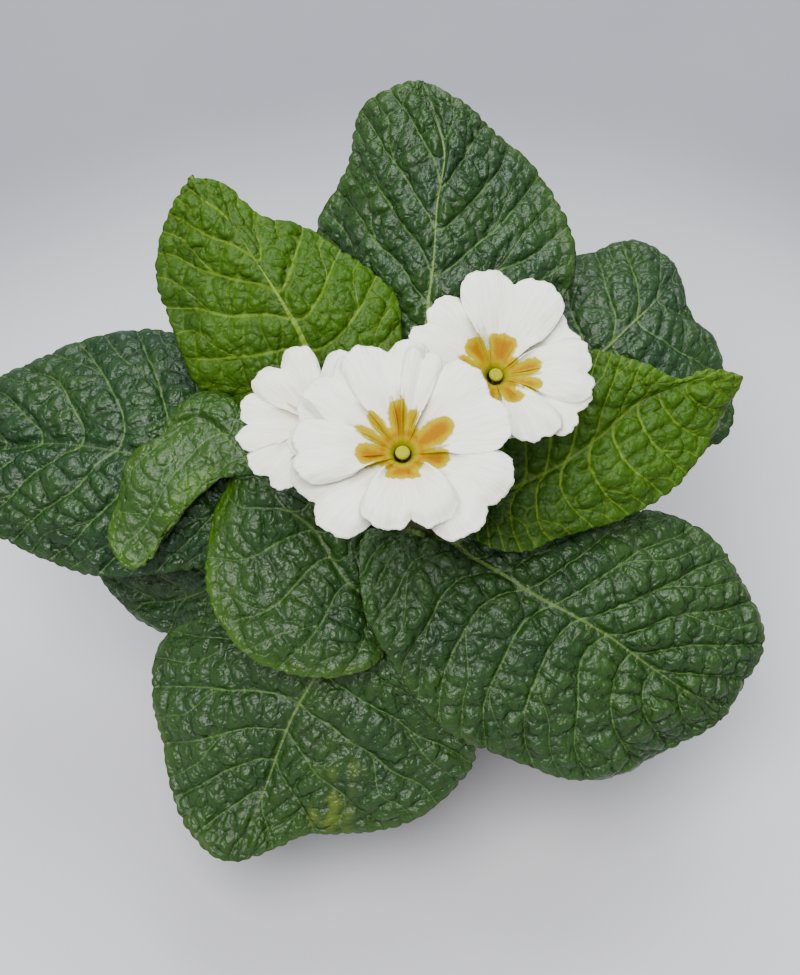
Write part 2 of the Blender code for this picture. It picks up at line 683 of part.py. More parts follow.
def make_pot():
    """The pot: tapered wall, stepped rim with a lip, flat floor with drain holes."""
    taper = (POT_TOP_RADIUS - POT_BASE_RADIUS) / POT_HEIGHT
    rim_foot = POT_HEIGHT - RIM_HEIGHT
    rim_inside = POT_TOP_RADIUS + RIM_STEP - POT_WALL
    profile = [
        (0.0, 0.0),
        (POT_BASE_RADIUS - FOOT_ROUND, 0.0),
        (POT_BASE_RADIUS, FOOT_ROUND),
        (POT_BASE_RADIUS + taper * rim_foot, rim_foot),
        (POT_TOP_RADIUS + RIM_STEP - 1.0, rim_foot + 0.8),
        (POT_TOP_RADIUS + RIM_STEP, POT_HEIGHT - 2.0),
        (POT_TOP_RADIUS + RIM_STEP + RIM_LIP, POT_HEIGHT - 1.6),
        (POT_TOP_RADIUS + RIM_STEP + RIM_LIP, POT_HEIGHT - 0.4),
        (POT_TOP_RADIUS + RIM_STEP + RIM_LIP * 0.5, POT_HEIGHT),
        (rim_inside, POT_HEIGHT),
        (rim_inside - 1.0, rim_foot + 3.0),
        (pot_inner_radius(rim_foot), rim_foot + 1.0),
        (pot_inner_radius(POT_FLOOR), POT_FLOOR),
        (0.0, POT_FLOOR),
    ]
    vertices, faces = turned(profile, POT_SIDES)
    pot = mesh_object("pot", vertices, faces, material("pot", POT_COLOUR, 0.45))
    pot.data.set_sharp_from_angle(angle=math.radians(35.0))
    cutter_mesh = bpy.data.meshes.new("drain_cutters")
    shape = bmesh.new()
    for k in range(DRAIN_COUNT):
        angle = TAU * k / DRAIN_COUNT
        place = Vector((math.cos(angle), math.sin(angle), 0.0)) * DRAIN_CIRCLE
        bmesh.ops.create_cone(
            shape,
            cap_ends=True,
            segments=DRAIN_SIDES,
            radius1=DRAIN_RADIUS * MM,
            radius2=DRAIN_RADIUS * MM,
            depth=4 * POT_FLOOR * MM,
            matrix=Matrix.Translation(place * MM),
        )
    shape.to_mesh(cutter_mesh)
    shape.free()
    cutter = bpy.data.objects.new("drain_cutters", cutter_mesh)
    bpy.context.scene.collection.objects.link(cutter)
    cutter.hide_render = True
    cutter.display_type = "WIRE"
    holes = pot.modifiers.new("drain_holes", "BOOLEAN")
    holes.operation = "DIFFERENCE"
    holes.solver = "EXACT"
    holes.object = cutter


def main():
    clear_scene()
    make_pot()
    make_soil()
    make_crown()
    for name, leaf in LEAVES.items():
        make_leaf(name, leaf)
    petal = material("petal", PETAL_COLOUR, 0.5)
    green = material("calyx", CALYX_COLOUR, 0.5)
    stalk = material("stalk", STALK_COLOUR, 0.5)
    eye = material("pistil", PISTIL_COLOUR, 0.4)
    for name, flower in FLOWERS.items():
        make_flower(name, flower, petal, green, stalk, eye)
    for name, bud in BUDS.items():
        make_bud(name, bud, petal, green, stalk)


main()
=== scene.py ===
import math
from collections import namedtuple

import bpy
import numpy as np
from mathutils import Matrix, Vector
from mathutils.kdtree import KDTree


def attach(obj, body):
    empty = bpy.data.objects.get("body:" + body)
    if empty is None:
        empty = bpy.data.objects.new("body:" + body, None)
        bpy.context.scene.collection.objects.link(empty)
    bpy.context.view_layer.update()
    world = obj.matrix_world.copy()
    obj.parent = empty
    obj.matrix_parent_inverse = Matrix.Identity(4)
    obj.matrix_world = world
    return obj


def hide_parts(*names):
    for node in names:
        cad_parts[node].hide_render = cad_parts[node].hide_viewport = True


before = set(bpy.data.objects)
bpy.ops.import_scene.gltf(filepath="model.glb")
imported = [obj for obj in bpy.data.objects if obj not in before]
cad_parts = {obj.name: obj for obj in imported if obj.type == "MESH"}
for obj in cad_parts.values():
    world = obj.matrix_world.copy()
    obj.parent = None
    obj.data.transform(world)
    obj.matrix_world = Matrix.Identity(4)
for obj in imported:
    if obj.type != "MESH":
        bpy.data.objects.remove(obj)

bpy.ops.object.select_all(action="DESELECT")

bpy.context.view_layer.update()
MM = 0.001
TAU = math.tau
UP = np.array([0.0, 0.0, 1.0])

# Sizes below are in millimetres, from the middle of the pot's underside, +Z up and -Y to the front

POT_HEIGHT = 74.0
POT_BASE_RADIUS = 34.0
POT_TOP_RADIUS = 45.5
POT_TAPER = (POT_TOP_RADIUS - POT_BASE_RADIUS) / POT_HEIGHT
POT_WALL = 1.4
POT_FLOOR = 1.8
FLOOR_RADIUS = 22.0
RIM_HEIGHT = 11.0
RIM_FOOT = POT_HEIGHT - RIM_HEIGHT
RIM_STEP = 2.2
RIM_LIP = 1.2
DRAIN_COUNT = 6
DRAIN_RADIUS = 4.0
DRAIN_CIRCLE = 25.0
SOIL_TOP = 69.5
SOIL_DOME = 1.6
SOIL_GAP = 0.45
CRUMB_COUNT = 190
CROWN_FOOT = SOIL_TOP + SOIL_DOME + 0.3
CROWN_TOP = 88.0
LOWER_RADIUS = 9.6
UPPER_RADIUS = 6.8
SCAR_HEIGHT = 3.0

# Leaf stalks and blades
ROOT_GAP = 0.45
ROOTS = {"low": (LOWER_RADIUS, 73.4), "middle": (LOWER_RADIUS, 77.4), "upper": (UPPER_RADIUS, 83.4)}
STALK_HALF_WIDTH = 2.3
STALK_RUN = 3.0
STALK_RISE = 0.5
STALK_THICKNESS = 2.6
BLADE_THICKNESS = 0.62
BLADE_SHARE = BLADE_THICKNESS / STALK_THICKNESS
STALK_SPREAD = 7.0
BLADE_RISE = 13.0

# Leaf mesh and relief
LEAF_STEP = 0.79
LOW_LEAF_STEP = 1.0
TOOTH_LENGTH = 3.5
TOOTH_DEPTH = 0.9
LATERAL_STAGGER = 0.25
CELL_LENGTH = 4.7
DOME_RADIUS = 3.0
DOME_HEIGHT = 1.42
RIDGE_RADIUS = 6.0
BUMP_SPACING = 2.5
BUMP_RADIUS = 1.3

# Each leaf: its kind, the tier of the crown it roots on and in which direction (degrees), how far each
# half bows up, how brightly green it is, how deep its quilting, how far apart its side veins leave the
# rib, how clearly the rib shows, how far forward the side veins reach the left and right margins (in side
# veins), and its sections from stalk to tip. A section is a point on the rib, on the left margin and on
# the right margin, seen from the crown. The tip is one point.
Leaf = namedtuple("Leaf", "kind root azimuth bow tone relief pitch rib sweep sections")
LEAVES = {
    "leaf_back": Leaf("dark", "upper", 92, 3.0, 0.13, 1.15, 12.0, 1.15, (0.42, 0.42), (
        (0, 17, 104, -4, 18, 105, 3, 18, 105), (0, 28, 112, -21, 54, 106, 28, 38, 110),
        (0, 38, 122, -29, 72, 117, 41, 57, 122), (2, 51, 131, -22, 83, 134, 32, 81, 133),
        (3, 64, 139, -18, 93, 144, 20, 88, 141), (5, 78, 145, -10, 96, 149, 11, 92, 147), (-1, 98, 151))),
    "leaf_back_left": Leaf("bright", "upper", 135, 2.5, 0.95, 1.0, 12.0, 1.55, (0.42, 0.42), (
        (-14, 12, 102, -17, 9, 102, -11, 14, 103), (-26, 20, 113, -48, 19, 105, -7, 32, 119),
        (-31, 26, 121, -60, 23, 107, -8, 44, 126), (-35, 32, 128, -67, 31, 117, -20, 53, 131),
        (-40, 38, 134, -73, 47, 126, -33, 61, 133), (-46, 46, 139, -72, 56, 134, -44, 60, 139),
        (-53, 55, 144, -68, 61, 143, -54, 66, 145), (-63, 65, 150))),
    "leaf_left": Leaf("dark", "middle", 178, 4.0, 0.06, 1.25, 14.0, 0.25, (1.2, 1.1), (
        (-21, 0, 91, -21, -3, 91, -21, 3, 91), (-43, 0, 98, -51, -18, 88, -49, 23, 97),
        (-63, 5, 101, -72, -20, 85, -66, 44, 100), (-78, 7, 102, -92, -20, 83, -79, 50, 101),
        (-90, 10, 101, -106, -16, 83, -94, 48, 99), (-104, 14, 97, -119, -8, 83, -113, 43, 95),
        (-118, 16, 91, -129, 2, 84, -127, 36, 90), (-134, 19, 84))),
    "leaf_front_left": Leaf("dark", "upper", 250, 3.0, 0.17, 1.0, 12.0, 0.45, (0.42, 0.42), (
        (-9, -18, 88, -12, -18, 88, -7, -19, 88), (-15, -28, 89, -12, -44, 83, -9, -31, 88),
        (-20, -28, 92, -27, -51, 84, -12, -25, 90), (-25, -22, 95, -44, -48, 86, -17, -17, 93),
        (-29, -16, 99, -55, -37, 88, -20, -10, 97), (-33, -14, 103, -59, -24, 93, -24, -4, 101),
        (-38, -12, 107, -57, -10, 100, -28, 2, 104), (-42, -7, 110, -53, -1, 106, -34, 7, 107),
        (-47, -2, 112, -64, -9, 106, -41, 11, 109), (-52, 4, 113, -72, -20, 97, -47, 14, 110),
        (-58, 10, 113, -80, -23, 93, -52, 18, 110), (-64, 12, 112, -86, -14, 97, -58, 21, 110),
        (-71, 9, 110, -81, 0, 104, -65, 19, 109), (-73, 9, 108))),
    "leaf_front": Leaf("dark", "low", 238, 3.0, 0.26, 0.95, 13.5, 0.7, (0.42, 0.42), (
        (-12, -18, 79, -9, -19, 79, -14, -16, 79), (-18, -27, 80, -9, -35, 78, -30, -26, 79),
        (-24, -36, 79, -2, -50, 77, -52, -26, 75), (-30, -46, 74, 13, -61, 60, -74, -29, 62),
        (-36, -54, 67, 7, -71, 52, -76, -47, 55), (-40, -61, 60, -11, -80, 46, -73, -63, 48),
        (-44, -69, 52, -31, -79, 43, -68, -76, 43), (-49, -80, 46, -42, -84, 42, -60, -84, 41),
        (-52, -87, 40))),
    "leaf_front_right": Leaf("dark", "middle", 305, 3.5, 0.23, 1.3, 12.0, 0.62, (0.5, 1.9), (
        (7, -13, 90, 9, -11, 90, 5, -15, 90), (12, -19, 92, 23, -12, 91, -15.5, -14, 97.5),
        (20, -24, 92, 37, -8, 89, -17, -34, 94), (29, -29, 89, 55, -2, 88, -9, -46, 83),
        (40, -34, 86, 74, -5, 84, 4, -59, 71), (50, -38, 81, 88, -17, 76, 22, -66, 63),
        (60, -43, 75, 95, -32, 66, 46, -69, 56), (71, -48, 68, 89, -45, 61, 66, -62, 54), (83, -53, 58))),
    "leaf_right": Leaf("bright", "upper", 358, 2.5, 0.66, 1.15, 8.5, 0.5, (0.8, 1.0), (
        (12, -1, 95, 12, 2, 96, 13, -4, 95), (21, -3, 100, 17, 13, 106, 14, -18, 99),
        (31, -1, 105, 30, 22, 117, 26, -21, 99), (39, 2, 109, 41, 27, 123, 39, -15, 98),
        (48, 8, 112, 50, 26, 123, 54, -11, 99), (57, 16, 114, 58, 24, 121, 66, -4, 101),
        (65, 20, 116, 67, 21, 118, 75, 6, 104), (74, 21, 117, 75, 24, 118, 81, 18, 107), (86, 25, 113))),
    "leaf_back_right": Leaf("dark", "middle", 45, 3.0, 0.12, 0.9, 12.0, 0.9, (0.42, 0.42), (
        (13, 13, 90, 10, 15, 90, 15, 10, 90), (26, 22, 97, 16, 40, 98, 41, 18, 92),
        (39, 32, 102, 28, 62, 101, 66, 22, 86), (50, 39, 106, 39, 75, 101, 83, 22, 84),
        (58, 47, 107, 50, 78, 101, 88, 32, 87), (65, 55, 106, 59, 80, 101, 84, 50, 93),
        (70, 63, 104, 68, 77, 101, 77, 59, 98), (74, 71, 102))),
    "leaf_low_left": Leaf("dark", "low", 200, 1.5, 0.12, 0.8, 12.0, 0.4, (0.42, 0.42), (
        (-19, -6, 78, -18, -9, 78, -20, -3, 78), (-35, -10, 80, -30, -17, 79, -42, 8, 79),
        (-50, -14, 77, -46, -23, 76, -65, 8, 74), (-63, -17, 67, -60, -29, 63, -87, 6, 62),
        (-75, -16, 58, -74, -24, 53, -97, -1, 54), (-90, -11, 51))),
    "leaf_low_right": Leaf("dark", "low", 350, 1.5, 0.45, 0.7, 10.0, 0.9, (0.42, 0.42), (
        (17, -4, 79, 17, -1, 79, 16, -7, 79), (38, -7, 81, 40, 2, 80, 35, -17, 80),
        (61, -6, 74, 65, 3, 74, 60, -17, 73), (79, -3, 65, 81, 4, 65, 79, -11, 62), (90, -1, 58))),
    "leaf_low_back_left": Leaf("dark", "low", 142, 1.5, 0.05, 0.8, 11.0, 0.9, (0.42, 0.42), (
        (-16, 13, 79, -18, 11, 79, -14, 15, 79), (-30, 25, 82, -41, 17, 80, -20, 37, 81),
        (-42, 36, 84, -57, 24, 79, -28, 52, 80), (-52, 45, 82, -64, 35, 77, -40, 58, 78),
        (-59, 51, 78, -64, 45, 75, -52, 58, 75), (-63, 56, 74))),
    "leaf_low_back_right": Leaf("dark", "low", 76, 1.5, 0.05, 0.8, 11.0, 0.9, (0.42, 0.42), (
        (5, 18, 79, 2, 19, 79, 8, 17, 79), (10, 33, 83, -4, 36, 81, 22, 28, 81),
        (15, 48, 84, -4, 53, 79, 33, 42, 80), (19, 60, 83, 4, 66, 77, 34, 55, 78),
        (22, 69, 79, 12, 73, 74, 31, 66, 75), (24, 77, 74))),
    "leaf_inner_back": Leaf("young", "upper", 48, 0.6, 1.0, 0.5, 6.0, 0.9, (0.42, 0.42), (
        (7, 7, 96, 5, 9, 97, 9, 6, 97), (10, 11, 103, 4, 13, 106, 14, 8, 106),
        (13, 14, 109, 6, 18, 113, 18, 11, 113), (17, 19, 115, 13, 22, 117, 20, 17, 117), (20, 23, 118))),
    "leaf_inner_front": Leaf("young", "upper", 305, 0.5, 1.0, 0.5, 6.0, 0.9, (0.42, 0.42), (
        (5, -7, 96, 7, -5, 97, 3, -8, 97), (8, -10, 102, 12, -6, 104, 3, -13, 104),
        (10, -14, 107, 14, -11, 110, 6, -17, 110), (13, -18, 111))),
}

# Flowers: middle of the face, the way it faces, where the stalk roots, the radius of the eye's core, the
# eye's patches and the petals. A patch has its direction (degrees), reach and half width. A petal has its
# direction, reach, half angle, notch depth, place in the stack, lift of its outer part and the uneven
# reach of its two lobes.
Flower = namedtuple("Flower", "face facing root core eye petals")
FLOWERS = {
    "front": Flower(
        (-6.5, -20.0, 148.0), (0.0, -0.14, 1.0), (-0.5, -2.6), 6.8, (
            (-90, 8.3, 4.8), (-17, 11.8, 2.9), (28, 13.8, 3.5), (74, 10.5, 1.6), (97, 12.6, 2.6),
            (132, 12.5, 1.6), (154, 13.0, 1.6), (190, 11.8, 3.2)), (
            (-84, 22.5, 45, 0.16, 7.0, 0.4, 0.0), (-36, 28.0, 40, 0.12, 4.0, 0.2, 0.0),
            (32, 27.0, 41, 0.09, 5.0, 0.5, 0.0), (77, 25.5, 15, 0.02, 6.4, 1.4, 0.0),
            (99, 28.5, 33, 0.1, 4.6, 0.8, 0.03), (132, 28.5, 31, 0.1, 3.4, 0.4, 0.0),
            (165, 28.0, 28, 0.09, 2.2, 0.2, 0.0), (212, 28.0, 40, 0.13, 1.0, 0.0, 0.0),
            (184, 26.5, 27, 0.05, 5.4, 0.3, 0.0))),
    "back": Flower(
        (17.5, 10.0, 137.0), (0.14, -0.1, 1.0), (2.4, 1.2), 6.4, (
            (134, 11.0, 3.0), (80, 10.8, 4.0), (12, 11.6, 2.4), (-20, 12.2, 2.2), (165, 10.6, 1.7),
            (-62, 10.6, 2.8), (-104, 10.0, 2.8), (214, 10.4, 2.8)), (
            (147, 24.5, 38, 0.12, 3.0, 0.9, 0.0), (80, 28.0, 42, 0.12, 5.0, 1.5, 0.0),
            (34, 24.5, 28, 0.05, 1.0, 0.5, 0.0), (3, 25.0, 31, 0.05, 3.4, 0.7, 0.0),
            (-28, 25.0, 28, 0.1, 2.0, 0.1, 0.0), (-60, 22.5, 26, 0.04, 4.4, 0.4, 0.0),
            (-92, 19.0, 30, 0.08, 0.6, -0.4, 0.0), (205, 21.0, 34, 0.1, 1.6, 0.4, 0.0))),
    "left": Flower(
        (-27.5, -3.0, 134.0), (-0.24, -0.08, 1.0), (-2.4, 0.9), 4.2, (
            (280, 8.6, 2.6), (335, 9.5, 2.8), (30, 8.8, 2.6)), (
            (122, 21.5, 36, 0.16, 4.0, 1.0, 0.0), (178, 21.0, 34, 0.14, 3.0, 0.6, 0.0),
            (228, 21.0, 32, 0.1, 2.0, 0.2, 0.0), (280, 20.0, 32, 0.1, 1.0, 0.0, 0.0),
            (335, 18.5, 30, 0.1, 2.5, 0.0, 0.0), (55, 20.0, 33, 0.12, 3.4, 0.4, 0.0))),
}
CREASED_PETAL = 7.0
BLUNT_FROM = 8.0
PETAL_ROWS = 34
THROAT_START = 1.9
THROAT_RADIUS = 2.9
TUBE_LENGTH = 17.0
TUBE_RADIUS = 1.75
PETAL_THICKNESS = 0.34
PETAL_GAP = 0.3
CALYX_LENGTH = 12.5
CALYX_RADIUS = 3.0
CALYX_MOUTH_RADIUS = 4.3
CALYX_TOOTH = 3.2
CALYX_WALL = 0.6
CALYX_SHOULDER = 0.95
CALYX_THICKNESS = 0.4
FLOWER_STALK_RADIUS = 1.15

# Buds: foot of the calyx, the way the bud points and where its stalk roots
BUDS = {
    "bud_1": ((-5.0, 7.0, 99.0), (-0.25, 0.35, 1.0), (-0.6, 2.8)),
    "bud_2": ((-7.0, -6.0, 97.0), (-0.35, -0.30, 1.0), (-2.6, -1.6)),
}
BUD_STALK_RADIUS = 0.9
BUD_CALYX_LENGTH = 7.5
BUD_CALYX_RADIUS = 2.7
BUD_LENGTH = 14.0
BUD_RADIUS = 1.75
BUD_SEAT = 1.2

# Colours of the leaves: dull cells, bright cells and veins
GREEN = (0.0085, 0.0320, 0.0080), (0.036, 0.090, 0.0024), (0.062, 0.128, 0.022)
CLEAR_GREEN = (0.0085, 0.0320, 0.0080), (0.036, 0.090, 0.0024), (0.105, 0.190, 0.012)
YOUNG_GREEN = (0.022, 0.070, 0.006), (0.075, 0.165, 0.010), (0.15, 0.24, 0.05)
PALE_GREEN = (0.050, 0.110, 0.036), (0.125, 0.235, 0.030), (0.22, 0.31, 0.10)
RIB_COLOUR, STALK_COLOUR = (0.19, 0.27, 0.04), (0.14, 0.22, 0.05)
# Random darker mottling of the cells, and the painted shade in the pits between the domes of dull and bright
# leaves
SHADED, DULL_PIT_PAINTED_SHADE, BRIGHT_PIT_PAINTED_SHADE = (0.006, 0.024, 0.006), (0.0022, 0.0095, 0.0022), (0.012, 0.034, 0.0015)
CRINKLE_SCALE = 430.0
FAR_OFF = 99.0
MERGE_DISTANCE = 0.004

# The photograph's view: the camera's place, how far it leans back from straight down, and its lens
CAMERA_PLACE = (-7.13, -230.74, 496.04)
CAMERA_TILT = 30.0
CAMERA_LENS = 62.14
CAMERA_SENSOR = 36.0


# Numbers

def smoothstep(low, high, value):
    """0 below low, 1 above high and an even ease between them."""
    share = np.clip((value - low) / (high - low), 0.0, 1.0)
    return share * share * (3.0 - 2.0 * share)


def unit(vectors):
    """Vectors scaled to length one."""
    return vectors / np.maximum(np.linalg.norm(vectors, axis=-1, keepdims=True), 1e-9)


def lengths(steps):
    """Length of each step."""
    return np.linalg.norm(steps, axis=1)


def running(steps):
    """Steps summed up from nothing."""
    return np.concatenate(([0.0], np.cumsum(steps)))


def rounded(distance, radius):
    """0 on a border, easing to 1 at a radius from it."""
    return 1.0 - (1.0 - np.clip(distance / radius, 0.0, 1.0)) ** 2


def blob(points, middle, spread):
    """1 at a middle, fading round it over a spread along each axis."""
    return np.exp(-np.sum(((points - middle) / spread) ** 2, axis=1))


def waves(points, length, seed, count=7):
    """A smooth random field over points, about -1 to 1, whose swells are some length apart."""
    chance = np.random.default_rng(seed)
    total = np.zeros(len(points))
    for _ in range(count):
        way = unit(chance.normal(size=3))
        pace = TAU / (length * chance.uniform(0.7, 1.5))
        total += np.sin(points @ way * pace + chance.uniform(0.0, TAU))
    return total / math.sqrt(count)


def hermite(points, spans, t):
    """Smooth curve through points, t counting from point to point and spans giving their spacing."""
    last = len(points) - 1
    first = np.minimum(t.astype(int), last - 1)
    before, after = np.maximum(first - 1, 0), np.minimum(first + 1, last - 1)
    u = (t - first)[:, None]
    start, end = points[first], points[first + 1]
    span, span_before, span_after = (spans[place][:, None] for place in (first, before, after))
    rise = end - start
    slope_in = (end - points[before]) * (span / (span + span_before))
    slope_out = (points[np.minimum(first + 2, last)] - start) * (span / (span + span_after))
    slope_in = np.where((first > 0)[:, None], slope_in, rise)
    slope_out = np.where((first < last - 1)[:, None], slope_out, rise)
    bend = rise * 3 - slope_in * 2 - slope_out
    return start + slope_in * u + bend * u ** 2 + (slope_in + slope_out - rise * 2) * u ** 3


def search_tree(points):
    """A tree that finds the nearest of some points."""
    tree = KDTree(len(points))
    for index, point in enumerate(points):
        tree.insert(point, index)
    tree.balance()
    return tree


def cell_borders(points, seeds, near=5):
    """Distance of each point to the border of its cell, and which seed's cell it lies in."""
    tree = search_tree(seeds)
    found = np.array([[hit[1] for hit in tree.find_n(point, near)] for point in points])
    own = seeds[found[:, 0]]
    nearest = np.full(len(points), FAR_OFF)
    for rank in range(1, near):
        other = seeds[found[:, rank]]
        gap = other - own
        distance = np.abs(np.einsum("ij,ij->i", (own + other) / 2 - points, gap))
        nearest = np.minimum(nearest, distance / np.maximum(lengths(gap), 1e-6))
    return nearest, found[:, 0]


def nearest_distance(points, targets):
    """Distance of each point to the nearest target."""
    tree = search_tree(targets)
    return np.array([tree.find(point)[2] for point in points])


# Mesh tools

def pick(*pieces):
    """Make pieces the only ones selected, and the first one active."""
    bpy.ops.object.select_all(action="DESELECT")
    for piece in pieces:
        piece.select_set(True)
    bpy.context.view_layer.objects.active = pieces[0]


def read_points(piece):
    """A piece's vertices as rows of numbers."""
    flat = np.empty(len(piece.data.vertices) * 3)
    piece.data.vertices.foreach_get("co", flat)
    return flat.reshape(-1, 3)


def read_round(piece):
    """A piece's points in millimetres, with their distance and angle from the Z axis."""
    points = read_points(piece) / MM
    return points, lengths(points[:, :2]), np.arctan2(points[:, 1], points[:, 0])


def move_points(piece, points):
    """Put a piece's vertices at points in millimetres."""
    piece.data.vertices.foreach_set("co", (np.asarray(points) * MM).ravel())
    piece.data.update()


def write_values(piece, **named):
    """Keep numbers on the vertices, for the materials to read."""
    for name, values in named.items():
        layer = piece.data.attributes.new(name, "FLOAT", "POINT")
        layer.data.foreach_set("value", np.full(len(piece.data.vertices), values, dtype=np.float32))


def new_sheet(name, columns, rows):
    """A flat grid, and each vertex's place across (-1 to 1) and along (0 to 1) it."""
    bpy.ops.mesh.primitive_grid_add(x_subdivisions=columns, y_subdivisions=rows, size=2.0)
    piece = bpy.context.object
    piece.name = name
    places = read_points(piece)
    return piece, places[:, 0].copy(), (places[:, 1] + 1.0) / 2.0


def start_edit():
    """Edit the active piece, with all of it selected."""
    bpy.ops.object.mode_set(mode="EDIT")
    bpy.ops.mesh.select_all(action="SELECT")


def end_edit(outwards=True):
    """Turn the selected faces outwards if asked, leave edit mode and shade smooth."""
    if outwards:
        bpy.ops.mesh.normals_make_consistent(inside=False)
    bpy.ops.object.mode_set(mode="OBJECT")
    bpy.ops.object.shade_smooth()


def merge_doubles(piece, outwards=False):
    """Merge doubled vertices and shade smooth."""
    pick(piece)
    start_edit()
    bpy.ops.mesh.remove_doubles(threshold=MERGE_DISTANCE * MM)
    end_edit(outwards)


def change(piece, kind, **settings):
    """Change a piece by a modifier."""
    pick(piece)
    made = piece.modifiers.new("change", kind)
    for key, value in settings.items():
        setattr(made, key, value)
    bpy.ops.object.modifier_apply(modifier=made.name)


def shade_by_angle(piece, degrees):
    """Shade a piece smooth, but for edges sharper than an angle."""
    pick(piece)
    bpy.ops.object.shade_smooth_by_angle(angle=math.radians(degrees))


def join(pieces, name):
    """Join pieces into one."""
    pick(*pieces)
    bpy.ops.object.join()
    pieces[0].name = name
    pieces[0].data.name = name
    return pieces[0]


def turned(name, profile, sides, closed=True):
    """A turned shape, drawn as a ring that is extruded and sized from step to step of its profile."""
    radius, height = profile[0]
    bpy.ops.mesh.primitive_circle_add(
        vertices=sides, radius=radius * MM, location=(0, 0, height * MM), fill_type="NOTHING"
    )
    piece = bpy.context.object
    piece.name = name
    bpy.ops.object.transform_apply(location=True)
    start_edit()
    if closed:
        bpy.ops.mesh.edge_face_add()
        bpy.ops.mesh.select_all(action="SELECT")
    for next_radius, next_height in profile[1:]:
        bpy.ops.mesh.extrude_region_move(
            TRANSFORM_OT_translate={"value": (0, 0, (next_height - height) * MM)}
        )
        share = next_radius / radius
        bpy.ops.transform.resize(value=(share, share, 1), center_override=(0, 0, next_height * MM))
        radius, height = next_radius, next_height
    bpy.ops.mesh.select_all(action="SELECT")
    end_edit()
    return piece


def open_top(piece):
    """Take away the lid that the last extrusion leaves on a turned cup."""
    pick(piece)
    bpy.ops.object.mode_set(mode="EDIT")
    bpy.ops.mesh.select_mode(type="FACE")
    bpy.ops.mesh.select_all(action="DESELECT")
    bpy.ops.object.mode_set(mode="OBJECT")
    top = max(face.center.z for face in piece.data.polygons)
    for face in piece.data.polygons:
        face.select = face.center.z > top - 0.01 * MM and face.normal.z > 0.9
    bpy.ops.object.mode_set(mode="EDIT")
    bpy.ops.mesh.delete(type="FACE")
    bpy.ops.mesh.select_mode(type="VERT")
    bpy.ops.object.mode_set(mode="OBJECT")


def stand_on(points, foot, axis):
    """Points drawn round +Z, moved to a foot and along an axis."""
    turn = Vector((0, 0, 1)).rotation_difference(Vector(axis).normalized()).to_matrix()
    return points @ np.array(turn).T + np.array(foot)


def finish(piece, nodes, materials):
    """Dress a piece and let it stand for its CAD nodes."""
    piece.data.materials.clear()
    for look in materials:
        piece.data.materials.append(look)
    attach(piece, "root")
    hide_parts(*nodes)
    return piece


# Material tools

def new_node(tree, kind, **settings):
    """A node whose properties are set by name."""
    made = tree.nodes.new(kind)
    for key, value in settings.items():
        setattr(made, key, value)
    return made


def feed(tree, target, value):
    """Link a socket to an input, or set the input to a plain value."""
    if isinstance(value, bpy.types.NodeSocket):
        tree.links.new(value, target)
    else:
        target.default_value = value


def feed_all(tree, node, values):
    """Link or set a node's inputs by name or number."""
    for key, value in values.items():
        feed(tree, node.inputs[key], value)


def math_node(tree, operation, *values, clamp=False):
    """A Math node's result."""
    made = new_node(tree, "ShaderNodeMath", operation=operation, use_clamp=clamp)
    feed_all(tree, made, dict(enumerate(values)))
    return made.outputs[0]


def times(tree, first, second, plus=None, clamp=False):
    """One value times another, and plus a third if there is one."""
    if plus is None:
        return math_node(tree, "MULTIPLY", first, second, clamp=clamp)
    return math_node(tree, "MULTIPLY_ADD", first, second, plus, clamp=clamp)


def ramp(tree, value, low, high, out_low=0.0, out_high=1.0):
    """A value eased from one range to another."""
    made = new_node(tree, "ShaderNodeMapRange", interpolation_type="SMOOTHSTEP")
    feed_all(tree, made, dict(enumerate((value, low, high, out_low, out_high))))
    return made.outputs[0]


def blend_colour(tree, share, first, second):
    """Two colours blended by a share."""
    made = new_node(tree, "ShaderNodeMix", data_type="RGBA", clamp_factor=True)
    feed(tree, made.inputs[0], share)
    for socket, value in ((made.inputs[6], first), (made.inputs[7], second)):
        feed(tree, socket, value if isinstance(value, bpy.types.NodeSocket) else (*value, 1.0))
    return made.outputs[2]


def layered(tree, colour, *layers):
    """A colour with others laid over it in turn, each by its share."""
    for share, over in layers:
        colour = blend_colour(tree, share, colour, over)
    return colour


def attribute(tree, name):
    """A number kept on the vertices."""
    return new_node(tree, "ShaderNodeAttribute", attribute_name=name).outputs["Fac"]


def noise(tree, place, scale, detail=3.0, roughness=0.55, output="Fac"):
    """Noise over a place."""
    made = new_node(tree, "ShaderNodeTexNoise")
    feed_all(tree, made, {"Vector": place, "Scale": scale, "Detail": detail, "Roughness": roughness})
    return made.outputs[output]


def bump(tree, height, strength, distance, under=None):
    """A bump of a height in millimetres, over another bump if there is one."""
    made = new_node(tree, "ShaderNodeBump")
    feed_all(tree, made, {"Strength": strength, "Distance": distance * MM, "Height": height})
    if under is not None:
        feed(tree, made.inputs["Normal"], under)
    return made.outputs["Normal"]


def new_material(name):
    """A node material, its tree, its shader and the place in the object's own coordinates."""
    made = bpy.data.materials.new(name)
    made.use_nodes = True
    tree = made.node_tree
    place = new_node(tree, "ShaderNodeTexCoord").outputs["Object"]
    return made, tree, tree.nodes["Principled BSDF"], place


def new_group(name, inputs, outputs):
    """An empty shader node group, its inputs and its outputs: plain numbers, but for the place."""
    tree = bpy.data.node_groups.new(name, "ShaderNodeTree")
    for way, labels in (("INPUT", inputs), ("OUTPUT", outputs)):
        for label in labels:
            kind = "NodeSocketVector" if label == "Place" else "NodeSocketFloat"
            tree.interface.new_socket(name=label, in_out=way, socket_type=kind)
    return tree, tree.nodes.new("NodeGroupInput").outputs, tree.nodes.new("NodeGroupOutput").inputs


def use_group(tree, group, values):
    """A group placed in a material with its own values."""
    made = new_node(tree, "ShaderNodeGroup", node_tree=group)
    feed_all(tree, made, values)
    return made.outputs


# Node groups

